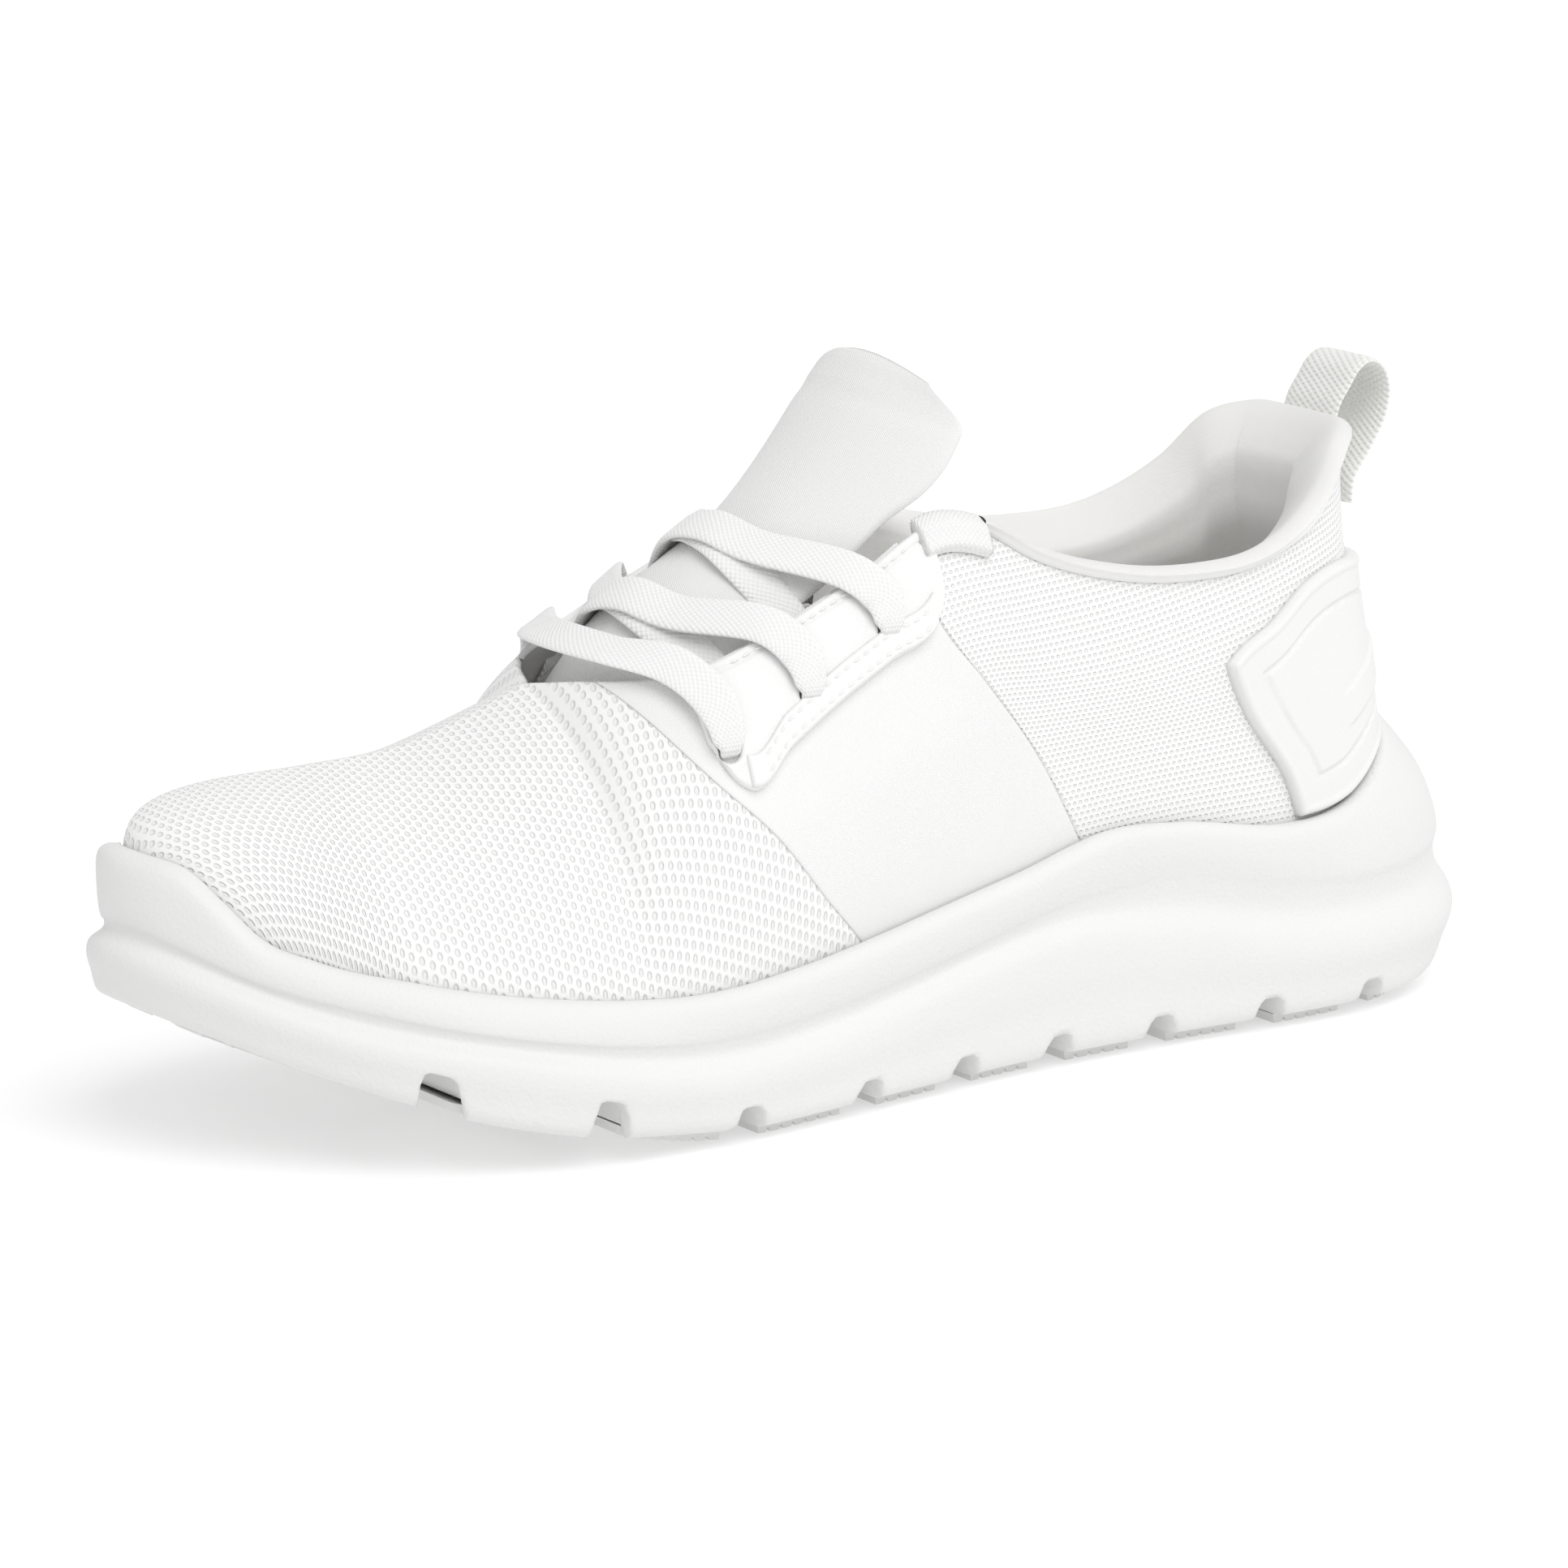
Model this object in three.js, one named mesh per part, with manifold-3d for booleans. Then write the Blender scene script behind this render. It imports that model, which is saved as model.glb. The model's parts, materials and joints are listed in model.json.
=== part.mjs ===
// A left running shoe with a stretch-laced, sock-like upper on a thick sculpted foam sole.
//
// The shoe is drawn in its maker's frame, in millimetres. x is the station, from the heel at 0 to the toe at
// LENGTH. y is the breadth, positive towards the outer (lateral) side of the foot. z is up from the ground.
// At the end the whole shoe is turned so that the toe points along -Y and the lateral side along +X.
//
// Every upper piece lies on one reference surface, the outside of the fabric. It is a ring of profiles that
// stand on the feather line all round the foot, and lean in to the topline, the throat or the vamp's ridge.
// A piece is a patch of that surface, moved in or out by its place in the layers and given a thickness.

import * as THREE from "three";
import { mergeVertices } from "three/addons/utils/BufferGeometryUtils.js";
import Module from "manifold-3d";

const wasm = await Module();
wasm.setup();

// ------------------------------------------------------------------------------------------
// Driving dimensions
// ------------------------------------------------------------------------------------------

const LENGTH = 300; // overall, heel flare to toe
const MEDIAL_THROAT = 0.77; // breadth of the throat's medial half against its lateral half
const GAP = 0.4; // between pieces that touch
const CUP_GAP = 0.6; // between the upper and the foam cup it sits in
const COLUMNS = 52; // profiles round the whole shoe
const STATION_STEP = 1e-3; // for slopes measured on the reference surface

// Layers of the upper, counted outwards from the outside of the fabric.
const FABRIC = 1.2;
const OVERLAY = 1.2;
const COUNTER_WALL = 2;
const STIFFENER = 0.9;
const LINING = 1.2;
const STIFFENER_OUT = -FABRIC - GAP;
const LINING_OUT = STIFFENER_OUT - STIFFENER - GAP;
const COLLAR_PAD = 6; // extra depth of the padding at its thickest

// Sole
const PAD = 1.8; // rubber tread pads
const PAD_INSET = 3.5; // from the sole's bottom edge
const PAD_SPLIT = 9; // channel between the lateral and medial pads
const TREAD_PITCH = 3.2;
const TREAD_DEPTH = 0.8;
const GROOVE_WIDTH = 7;
const GROOVE_HEIGHT = 5;
const GROOVES = [41, 67, 93, 118, 142, 167, 197, 228, 259]; // stations of the flex grooves
const RIM = 4.2; // width of the foam lip round the upper
const BOARD = 1.4;
const SOCKLINER = 4.2;
const TOP_CLOTH = 0.7;

// Lacing
const EYELETS = [158, 176, 193]; // stations, top to bottom
const EYELET_R = 2.2;
const LACE_WIDTH = 7.6;
const LACE_THICK = 1.9;
const LACE_CORE = 1.5; // half width where the lace is bunched in an eyelet

// ------------------------------------------------------------------------------------------
// Lines of the shoe: pairs of station and value, joined by smooth curves
// ------------------------------------------------------------------------------------------

// A smooth function through the points, straight beyond its ends.
function line(points) {
  const n = points.length;
  const slope = (i) => (points[i + 1][1] - points[i][1]) / (points[i + 1][0] - points[i][0]);
  const tangent = points.map((p, i) => {
    if (i === 0) return slope(0);
    if (i === n - 1) return slope(n - 2);
    const before = points[i][0] - points[i - 1][0];
    const after = points[i + 1][0] - points[i][0];
    return (slope(i - 1) * after + slope(i) * before) / (before + after);
  });
  return (x) => {
    if (x <= points[0][0]) return points[0][1] + tangent[0] * (x - points[0][0]);
    if (x >= points[n - 1][0]) return points[n - 1][1] + tangent[n - 1] * (x - points[n - 1][0]);
    let i = 0;
    while (x > points[i + 1][0]) i += 1;
    const span = points[i + 1][0] - points[i][0];
    const t = (x - points[i][0]) / span;
    const t2 = t * t;
    const t3 = t2 * t;
    return (
      points[i][1] * (2 * t3 - 3 * t2 + 1) +
      tangent[i] * span * (t3 - 2 * t2 + t) +
      points[i + 1][1] * (3 * t2 - 2 * t3) +
      tangent[i + 1] * span * (t3 - t2)
    );
  };
}

const mix = (a, b, t) => a + (b - a) * t;
const clamp = (x, low, high) => Math.min(high, Math.max(low, x));
const smooth = (a, b, x) => {
  const t = clamp((x - a) / (b - a), 0, 1);
  return t * t * (3 - 2 * t);
};

// Sole outline at its widest: the breadth to each side of the centre line, before it rounds off at the ends.
const breadthLateral = line([
  [0, 76], [14, 73], [40, 62], [80, 47.5], [120, 44], [160, 49.6], [200, 60], [230, 68], [258, 72],
  [282, 70], [300, 70],
]);
const breadthMedial = line([
  [0, 74], [14, 71], [40, 57.5], [80, 42], [120, 37], [160, 41.6], [200, 51], [230, 58.5],
  [258, 64], [282, 63], [300, 60],
]);
const centreLine = line([[0, 0], [120, 0], [200, -2], [258, -5.5], [300, -8]]);

// Heights of the sole, from the ground.
const groundLine = line([
  [0, 5], [15, 1.2], [30, 0], [100, 0], [190, 0], [205, 1], [221, 3.4], [236, 6.2], [252, 9.8],
  [274, 17.2], [300, 28],
]);
// The tread lies flat on the ground under the heel and the arch, and springs up towards the toe.
const ground = (station) => Math.max(0, groundLine(station));
const lowerEdge = line([
  [0, 20], [40, 18.5], [57, 19], [90, 24.5], [111, 26.8], [134, 24.5], [172, 18], [202, 16],
  [246, 23], [273, 29], [300, 41],
]);
const crease = line([
  [0, 33], [41, 29.5], [65, 31.5], [90, 35.5], [106, 34.5], [147, 27], [179, 22.7], [201, 21.5],
  [240, 25.5], [266, 31], [286, 37], [300, 45],
]);
const rim = line([
  [0, 57], [14, 55], [28, 50], [42, 43], [59, 40.6], [87, 44.2], [101, 45], [127, 39.4],
  [148, 35.8], [180, 31], [205, 29.2], [234, 31.4], [262, 36], [278, 40], [286, 44], [291, 50],
  [296, 55.5], [300, 57],
]);
const footbed = line([
  [0, 34], [40, 31], [90, 30], [130, 27], [160, 24], [200, 20], [230, 21.5], [260, 27], [285, 36],
  [300, 43],
]);

// How far the upper's foot stands in from the sole's outline.
const featherInset = line([
  [0, 22.5], [14, 17.8], [30, 11.6], [50, 8.6], [80, 7.4], [120, 6.6], [200, 7], [250, 7.8], [285, 7.8], [300, 7.4],
]);
const creaseInset = line([[0, 4], [20, 3], [45, 2.4], [120, 2.2], [220, 2.2], [285, 2.6], [300, 2.8]]);

// Top of the upper, against the station of the profile's foot: topline, then throat edge, then ridge.
const brimStation = line([
  [0, 27.5], [14, 30.6], [27, 37.8], [40, 46], [60, 62], [80, 80], [100, 99], [120, 118],
  [140, 138], [160, 158], [180, 179], [190, 189], [197, 196.5], [203, 202.5], [208, 207],
  [212, 210], [216, 212], [240, 232], [270, 250], [300, 265],
]);
const brimBreadthLine = line([
  [0, 32], [14, 34.5], [27, 37.6], [40, 37.5], [60, 36.9], [80, 35], [100, 33.4], [120, 31.1],
  [140, 28.6], [160, 29.1], [180, 29.6], [190, 28.5], [197, 26.3], [203, 21.9], [208, 15.7],
  [212, 8.8], [216, 0], [300, 0],
]);
const fromEnds = (station) => 2 * Math.sqrt((station / LENGTH) * (1 - station / LENGTH));
const brimBreadth = (station) => (station >= 216 ? 0 : fromEnds(station) * brimBreadthLine(station));
const brimHeight = line([
  [0, 113], [14, 113], [27, 110], [40, 101.5], [60, 93.5], [80, 92.2], [100, 94.5], [120, 100.5],
  [132, 107], [140, 108.5], [160, 99.5], [180, 90.5], [196, 84.5], [204, 83], [210, 82], [216, 80],
  [240, 71.3], [270, 68.2], [300, 67],
]);
const ridgeDrift = line([[0, 0], [160, 0], [216, -2], [240, -6], [270, -10], [300, -14]]);
// Lean of the wall at its top, in degrees above the horizontal.
const brimLean = line([
  [0, 96], [40, 92], [80, 84], [120, 76], [140, 62], [160, 46], [180, 42], [196, 40], [204, 32],
  [210, 20], [216, 14], [250, 10], [280, 5], [300, 2],
]);
const brimReach = line([
  [0, 26], [60, 20], [120, 24], [150, 22], [196, 20], [216, 22], [250, 22], [285, 26], [300, 28],
]);
const footReach = line([[0, 30], [60, 24], [120, 26], [200, 24], [250, 23], [285, 20], [300, 19]]);
const footBulge = line([[0, 0], [60, 2], [120, 1], [200, 2], [250, 2], [300, 1]]);

// ------------------------------------------------------------------------------------------
// Reference surface
// ------------------------------------------------------------------------------------------

// A place round the shoe is a turn: 0 at the heel, 1 at the toe by the lateral side, 2 at the heel again.
const wrap = (turn) => ((turn % 2) + 2) % 2;
const turnAt = (station, side) => {
  const t = Math.acos(clamp(1 - (2 * station) / LENGTH, -1, 1)) / Math.PI;
  return side > 0 ? t : 2 - t;
};
const stationAt = (turn) => (LENGTH * (1 - Math.cos(Math.PI * wrap(turn)))) / 2;
const sideAt = (turn) => (wrap(turn) <= 1 ? 1 : -1);

function outline(turn) {
  const station = stationAt(turn);
  const breadth = sideAt(turn) > 0 ? breadthLateral(station) : breadthMedial(station);
  return new THREE.Vector3(station, centreLine(station) + Math.sin(Math.PI * wrap(turn)) * breadth, 0);
}

function outward(turn) {
  const along = outline(turn + STATION_STEP).sub(outline(turn - STATION_STEP)).normalize();
  return new THREE.Vector3(-along.y, along.x, 0);
}

function sidePoint(turn, inset, height) {
  const p = outline(turn).addScaledVector(outward(turn), -inset);
  p.z = height;
  return p;
}

function foot(turn) {
  const station = stationAt(turn);
  return sidePoint(turn, featherInset(station), footbed(station) + GAP);
}

function brim(turn) {
  const station = stationAt(turn);
  const out = brimStation(station);
  // The medial edge of the throat stands nearer the centre line than the lateral one.
  const share = sideAt(turn) > 0 ? 1 : mix(1, MEDIAL_THROAT, smooth(115, 150, station));
  const breadth = ridgeDrift(station) + sideAt(turn) * share * brimBreadth(station);
  return new THREE.Vector3(out, breadth, brimHeight(station));
}

// A point of the reference surface; height runs from 0 at the foot to 1 at the brim.
function upper(turn, height) {
  const station = stationAt(turn);
  const n = outward(turn);
  const a = foot(turn);
  const d = brim(turn);
  const b = a.clone().addScaledVector(n, footBulge(station));
  b.z += footReach(station);
  const lean = (brimLean(station) * Math.PI) / 180;
  const step = 1;
  const slope =
    (brimHeight(station + step) - brimHeight(station - step)) /
    (brimStation(station + step) - brimStation(station - step));
  const reach = brimReach(station);
  const flat = reach * Math.cos(lean);
  const onRidge = smooth(200, 222, station);
  const rise = onRidge * n.x * flat * slope - reach * Math.sin(lean);
  const c = new THREE.Vector3(d.x + n.x * flat, d.y + n.y * flat, d.z + rise);
  return new THREE.CubicBezierCurve3(a, b, c, d).getPoint(height);
}

// The outward normal of the reference surface.
function normal(turn, height) {
  const h = Math.min(height, 0.995);
  const across = upper(turn + STATION_STEP, h).sub(upper(turn - STATION_STEP, h));
  const up = upper(turn, h + STATION_STEP).sub(upper(turn, h - STATION_STEP));
  return up.cross(across).normalize();
}

// A point under the reference surface or, at a positive depth, over it. Both sides share the vamp's ridge.
function at(turn, height, depth) {
  const n = normal(turn, height);
  if (height > 0.9999 && brimBreadth(stationAt(turn)) === 0) n.add(normal(2 - turn, height)).normalize();
  return upper(turn, height).addScaledVector(n, depth);
}

// The height at which a profile passes a level.
function heightAt(turn, z) {
  let low = 0;
  let high = 1;
  for (let i = 0; i < 24; i += 1) {
    const mid = (low + high) / 2;
    if (upper(turn, mid).z < z) low = mid;
    else high = mid;
  }
  return low;
}

// ------------------------------------------------------------------------------------------
// Sheets and solids
// ------------------------------------------------------------------------------------------

// Triangles of a grid of points; grid[i][j] with i along and j up.
function gridTriangles(grid) {
  const triangles = [];
  for (let i = 0; i < grid.length - 1; i += 1)
    for (let j = 0; j < grid[i].length - 1; j += 1) {
      const [a, b, c, d] = [grid[i][j], grid[i + 1][j], grid[i + 1][j + 1], grid[i][j + 1]];
      triangles.push([a, b, c], [a, c, d]);
    }
  return triangles;
}

function geometryOf(triangles) {
  const flat = new Float32Array(triangles.length * 9);
  triangles.forEach((t, i) => t.forEach((p, k) => p.toArray(flat, i * 9 + k * 3)));
  const g = new THREE.BufferGeometry();
  g.setAttribute("position", new THREE.BufferAttribute(flat, 3));
  const merged = mergeVertices(g, 1e-3);
  const index = [];
  const old = merged.index.array;
  for (let i = 0; i < old.length; i += 3)
    if (new Set(old.slice(i, i + 3)).size === 3) index.push(...old.slice(i, i + 3));
  merged.setIndex(index);
  return merged;
}

// A closed solid: the sheet moved to two depths along its own normals, with walls along its free edges.
// depths(point) gives [inner, outer].
function thicken(triangles, depths) {
  const sheet = geometryOf(triangles);
  sheet.computeVertexNormals();
  const pos = sheet.attributes.position;
  const nor = sheet.attributes.normal;
  const index = [...sheet.index.array];
  const skins = [0, 1].map((k) =>
    Array.from({ length: pos.count }, (_, i) => {
      const p = new THREE.Vector3().fromBufferAttribute(pos, i);
      const n = new THREE.Vector3().fromBufferAttribute(nor, i);
      return p.clone().addScaledVector(n, depths(p)[k]);
    }),
  );
  const made = [];
  const edges = new Map();
  for (let i = 0; i < index.length; i += 3) {
    const [a, b, c] = index.slice(i, i + 3);
    made.push([skins[1][a], skins[1][b], skins[1][c]], [skins[0][c], skins[0][b], skins[0][a]]);
    for (const [p, q] of [[a, b], [b, c], [c, a]]) edges.set(p + "," + q, [p, q]);
  }
  for (const [p, q] of edges.values())
    if (!edges.has(q + "," + p)) {
      made.push([skins[0][p], skins[0][q], skins[1][q]]);
      made.push([skins[0][p], skins[1][q], skins[1][p]]);
    }
  return geometryOf(made);
}

const toSolid = (geometry) => {
  const bare = new THREE.BufferGeometry();
  const loose = geometry.index ? geometry.toNonIndexed() : geometry;
  bare.setAttribute("position", loose.attributes.position);
  const merged = mergeVertices(bare, 1e-3);
  const vertProperties = merged.attributes.position.array;
  const triVerts = new Uint32Array(merged.index.array);
  return new wasm.Manifold(new wasm.Mesh({ numProp: 3, vertProperties, triVerts }));
};

// Slivers finer than this are dropped after cutting.
const FINEST = 0.01;
const toGeometry = (solid) => {
  const mesh = solid.simplify(FINEST).getMesh();
  const points = new Float32Array(mesh.numVert * 3);
  for (let i = 0; i < mesh.numVert; i += 1) {
    const start = i * mesh.numProp;
    points.set(mesh.vertProperties.subarray(start, start + 3), i * 3);
  }
  const g = new THREE.BufferGeometry();
  g.setAttribute("position", new THREE.BufferAttribute(points, 3));
  g.setIndex(new THREE.BufferAttribute(mesh.triVerts, 1));
  return g;
};

// ------------------------------------------------------------------------------------------
// Materials and the group
// ------------------------------------------------------------------------------------------

const finish = (color, roughness) => new THREE.MeshStandardMaterial({ color, roughness, metalness: 0 });
const MATERIALS = {
  foam: finish(0xf2f2f1, 0.75),
  rubber: finish(0xeeeeec, 0.85),
  mesh: finish(0xf6f6f5, 0.95),
  stretch: finish(0xf5f5f3, 0.9),
  leather: finish(0xf7f7f6, 0.6),
  moulded: finish(0xf2f2f1, 0.55),
  lining: finish(0xeceae6, 0.9),
  padding: finish(0xe9e6dd, 0.95),
  board: finish(0xddd6c6, 0.9),
  webbing: finish(0xf1f2e6, 0.8),
  lace: finish(0xf6f6f5, 0.85),
};

const shoe = new THREE.Group();
function add(name, material, geometry) {
  const mesh = new THREE.Mesh(geometry, MATERIALS[material]);
  mesh.name = name;
  shoe.add(mesh);
}

// ------------------------------------------------------------------------------------------
// Sole
// ------------------------------------------------------------------------------------------

const bottomInset = line([[0, 9], [25, 6], [60, 4.2], [120, 3.6], [200, 3.2], [260, 3.2], [300, 4]]);
// Towards the toe the foam comes down round the tread like a skirt, and the tread is set up into it.
const springy = (station) => smooth(205, 235, station);
const TOE_LIFT = 1.6;
const SKIRT_RISE = 0.5; // the skirt's edge over the ground line
const padGround = (station) => ground(station) + TOE_LIFT * springy(station);
const soleBase = (station) => padGround(station) + PAD + GAP;


// The rings of the midsole, from the tread up the sculpted side, over the lip and down inside it.
function midsoleRing(turn) {
  const s = stationAt(turn);
  const edge = ground(s) + mix(PAD + GAP, SKIRT_RISE, springy(s));
  const low = lowerEdge(s);
  const high = crease(s);
  const lip = rim(s);
  const lipHeight = heightAt(turn, lip);
  const lipInner = at(turn, lipHeight, CUP_GAP);
  const outwards = outward(turn);
  const lipOuter = lipInner.clone().addScaledVector(outwards, RIM);
  lipOuter.z = lip - 1.2;
  const lipTop = lipInner.clone().addScaledVector(outwards, RIM * 0.62);
  lipTop.z = lip;
  const creasePoint = sidePoint(turn, creaseInset(s), high);
  const wall = lipOuter.clone().lerp(creasePoint, 0.5);
  return [
    sidePoint(turn, bottomInset(s) + PAD_INSET - 0.9, soleBase(s)),
    sidePoint(turn, bottomInset(s) + 0.9, edge),
    sidePoint(turn, bottomInset(s) * 0.55, edge + 1.6),
    sidePoint(turn, bottomInset(s) * 0.2, mix(edge, low, 0.42)),
    sidePoint(turn, 0, mix(edge, low, 0.72)),
    sidePoint(turn, 0.7, low - 1.2),
    sidePoint(turn, mix(0.8, creaseInset(s), 0.5) + 1.6, mix(low, high, 0.35)),
    sidePoint(turn, creaseInset(s) + 0.5, mix(low, high, 0.78)),
    creasePoint,
    wall,
    lipOuter,
    lipTop,
    lipInner,
    at(turn, lipHeight * 0.66, CUP_GAP),
    at(turn, lipHeight * 0.33, CUP_GAP),
    at(turn, 0, CUP_GAP),
  ];
}

// A lid over a closed ring of points: one strip from the lateral side to the medial side at each station.
function lid(ring, facingUp) {
  const half = ring.length / 2;
  const grid = Array.from({ length: half + 1 }, (_, i) => [ring[i], ring[(ring.length - i) % ring.length]]);
  const triangles = gridTriangles(grid);
  return facingUp ? triangles.map(([a, b, c]) => [a, c, b]) : triangles;
}

function midsole() {
  const rings = Array.from({ length: COLUMNS }, (_, i) => midsoleRing((2 * i) / COLUMNS));
  const closed = [...rings, rings[0]];
  const sides = gridTriangles(closed).map(([a, b, c]) => [a, c, b]);
  const bottom = lid(rings.map((r) => r[0]), false);
  const top = lid(rings.map((r) => r[r.length - 1]), true);
  return geometryOf([...sides, ...bottom, ...top]);
}


// A prism: an outline in station and height, drawn out across the shoe.
function across(points, breadth) {
  const shape = new THREE.Shape(points.map(([s, z]) => new THREE.Vector2(s, z)));
  const g = new THREE.ExtrudeGeometry(shape, { depth: breadth, bevelEnabled: false, curveSegments: 4 });
  g.rotateX(Math.PI / 2);
  g.translate(0, breadth / 2, 0);
  return toSolid(g);
}

// A flex groove: straight sides with a rounded roof, cut up into the foam.
function groove(station) {
  const base = soleBase(station);
  const half = GROOVE_WIDTH / 2;
  const roof = Array.from({ length: 5 }, (_, i) => (Math.PI * i) / 4);
  const top = base + GROOVE_HEIGHT;
  const points = roof.map((a) => [station + half * Math.cos(a), top - half * 0.7 * (1 - Math.sin(a))]);
  return across([[station + half, base - 4], ...points, [station - half, base - 4]], 2 * LENGTH);
}

let foamSole = toSolid(midsole());
for (const station of GROOVES) foamSole = foamSole.subtract(groove(station));
add("midsole", "foam", toGeometry(foamSole));

// The plan of the tread on one side: the sole's bottom edge moved in, closed along the middle channel.
function treadPlan(side) {
  const turns = Array.from({ length: 31 }, (_, i) => 0.06 + (0.86 * i) / 30);
  const edge = turns.map((t) => {
    const turn = side > 0 ? t : 2 - t;
    return sidePoint(turn, bottomInset(stationAt(turn)) + PAD_INSET, 0);
  });
  const inner = Array.from({ length: 9 }, (_, i) => {
    const x = mix(edge[30].x, edge[0].x, i / 8);
    return new THREE.Vector2(x, centreLine(x) + (side * PAD_SPLIT) / 2);
  });
  const points = [...edge.map((p) => new THREE.Vector2(p.x, p.y)), ...inner];
  const shape = new THREE.Shape(side > 0 ? points.reverse() : points);
  const g = new THREE.ExtrudeGeometry(shape, { depth: 80, bevelEnabled: false });
  g.translate(0, 0, -20);
  return toSolid(g);
}

// One tread row: a strip of rubber whose lower face is cut into lands and serrations.
function treadRow(from, to) {
  const teeth = Math.max(2, Math.round((to - from) / TREAD_PITCH));
  const pitch = (to - from) / teeth;
  const low = [];
  for (let i = 0; i < teeth; i += 1) {
    const s = from + i * pitch;
    low.push([s + 0.02, padGround(s)], [s + pitch * 0.62, padGround(s + pitch * 0.62)]);
    if (i < teeth - 1) {
      low.push([s + pitch * 0.72, padGround(s) + TREAD_DEPTH]);
      low.push([s + pitch * 0.9, padGround(s + pitch) + TREAD_DEPTH]);
    }
  }
  const steps = Math.max(2, Math.ceil((to - from) / 7));
  const high = Array.from({ length: steps + 1 }, (_, i) => {
    const s = mix(to - pitch * 0.3, from, i / steps);
    return [s, padGround(s) + PAD];
  });
  return across([...low, ...high], 2 * LENGTH);
}

const plans = { lateral: treadPlan(1), medial: treadPlan(-1) };
const rowEnds = [6, ...GROOVES, 292];
for (let row = 0; row < rowEnds.length - 1; row += 1) {
  const inset = GROOVE_WIDTH / 2 + 0.6;
  const from = rowEnds[row] + (row === 0 ? 0 : inset);
  const to = rowEnds[row + 1] - (row === rowEnds.length - 2 ? 0 : inset);
  const body = treadRow(from, to);
  for (const side of ["lateral", "medial"]) {
    add(`tread_pad_${row + 1}_${side}`, "rubber", toGeometry(body.intersect(plans[side])));
  }
}

// ------------------------------------------------------------------------------------------
// Inside the sole
// ------------------------------------------------------------------------------------------

const FLOOR_CLEAR = 0.6;
// A flat layer over the footbed, from one height above it to another, kept in from the walls.
function floorLayer(low, high, inset) {
  const ring = (rise) =>
    Array.from({ length: COLUMNS }, (_, i) => {
      const turn = (2 * i) / COLUMNS;
      const p = foot(turn).addScaledVector(outward(turn), -inset);
      p.z = footbed(stationAt(turn)) + GAP + rise;
      return p;
    });
  const [bottom, top] = [ring(low), ring(high)];
  const wall = Array.from({ length: COLUMNS + 1 }, (_, i) => [bottom[i % COLUMNS], top[i % COLUMNS]]);
  const sides = gridTriangles(wall).map(([a, b, c]) => [a, c, b]);
  return geometryOf([...sides, ...lid(bottom, false), ...lid(top, true)]);
}

const WALL_IN = FABRIC + GAP + STIFFENER + GAP + LINING + FLOOR_CLEAR;
const boardTop = FLOOR_CLEAR + BOARD;
const foamTop = boardTop + GAP + SOCKLINER;
add("strobel_board", "board", floorLayer(FLOOR_CLEAR, boardTop, WALL_IN));
add("sockliner_foam", "padding", floorLayer(boardTop + GAP, foamTop, WALL_IN + 1.6));
add("sockliner_cloth", "lining", floorLayer(foamTop + GAP, foamTop + GAP + TOP_CLOTH, WALL_IN + 1.9));

// ------------------------------------------------------------------------------------------
// Upper
// ------------------------------------------------------------------------------------------

const FOOT_EDGE = 0.03; // the panels' lower border, a little over the footbed
const BRIM_EDGE = 0.95; // the fabric's upper border under the collar's rolled edge

// The turn at which profiles meet an edge drawn as a line of station against level.
function meet(edge, height, side) {
  let turn = turnAt(edge(60), side);
  for (let i = 0; i < 8; i += 1) turn = turnAt(mix(stationAt(turn), edge(upper(turn, height).z), 0.7), side);
  return turn;
}

// A grid of places over the reference surface, between two side borders and two levels, at a depth.
function patch(from, to, low, high, columns, rows, depth) {
  return Array.from({ length: columns + 1 }, (_, i) =>
    Array.from({ length: rows + 1 }, (_, j) => {
      let height = j / rows;
      let turn = 1;
      for (let k = 0; k < 5; k += 1) {
        turn = mix(from(height), to(height), i / columns);
        height = mix(low(turn), high(turn), j / rows);
      }
      return at(turn, height, depth(turn, height));
    }),
  );
}

const outwards = (grid) => gridTriangles(grid).map(([a, b, c]) => [a, c, b]);
const sheetOf = (grid, thickness) => thicken(outwards(grid), () => [-thickness / 2, thickness / 2]);
const always = (value) => () => value;

// Seams of the fabric, as station against level.
const saddleFront = line([[20, 160], [31, 164], [43, 175], [54.5, 185], [66, 196], [82, 207]]);
const saddleRear = line([[20, 98], [42, 109], [63, 122], [78, 134.6], [88.6, 144], [105, 150]]);
const HALF_SEAM = 0.35;
const bothSides = [["lateral", 1], ["medial", -1]];
const shifted = (edge, by) => (z) => edge(z) + by;

function sidePanel(name, material, rear, front, columns, rows, side) {
  const a = (h) => meet(shifted(rear, HALF_SEAM), h, side);
  const b = (h) => meet(shifted(front, -HALF_SEAM), h, side);
  const ends = side > 0 ? [a, b] : [b, a];
  const grid = patch(...ends, always(FOOT_EDGE), always(1), columns, rows, always(FABRIC_MID));
  add(name, material, sheetOf(grid, FABRIC));
}

const FABRIC_MID = -FABRIC / 2;
function vampGrid(columns, rows, depth, by) {
  const from = (h) => meet(shifted(saddleFront, HALF_SEAM + by), h, 1);
  const to = (h) => 2 - from(h);
  return patch(from, to, always(FOOT_EDGE), always(1), columns, rows, depth);
}
add("vamp_mesh", "mesh", sheetOf(vampGrid(28, 9, always(FABRIC_MID), 0), FABRIC));

for (const [word, side] of bothSides) {
  sidePanel(`saddle_${word}`, "stretch", saddleRear, saddleFront, 5, 8, side);
  const heelSeam = () => (side > 0 ? 0.004 : 1.996);
  const b = (h) => meet(shifted(saddleRear, -HALF_SEAM), h, side);
  const top = (turn) => mix(BRIM_EDGE, 1, smooth(132.5, 134, stationAt(turn)));
  const ends = side > 0 ? [heelSeam, b] : [b, heelSeam];
  const grid = patch(...ends, always(FOOT_EDGE), top, 18, 9, always(FABRIC_MID));
  add(`quarter_${word}`, "mesh", sheetOf(grid, FABRIC));
}

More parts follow.
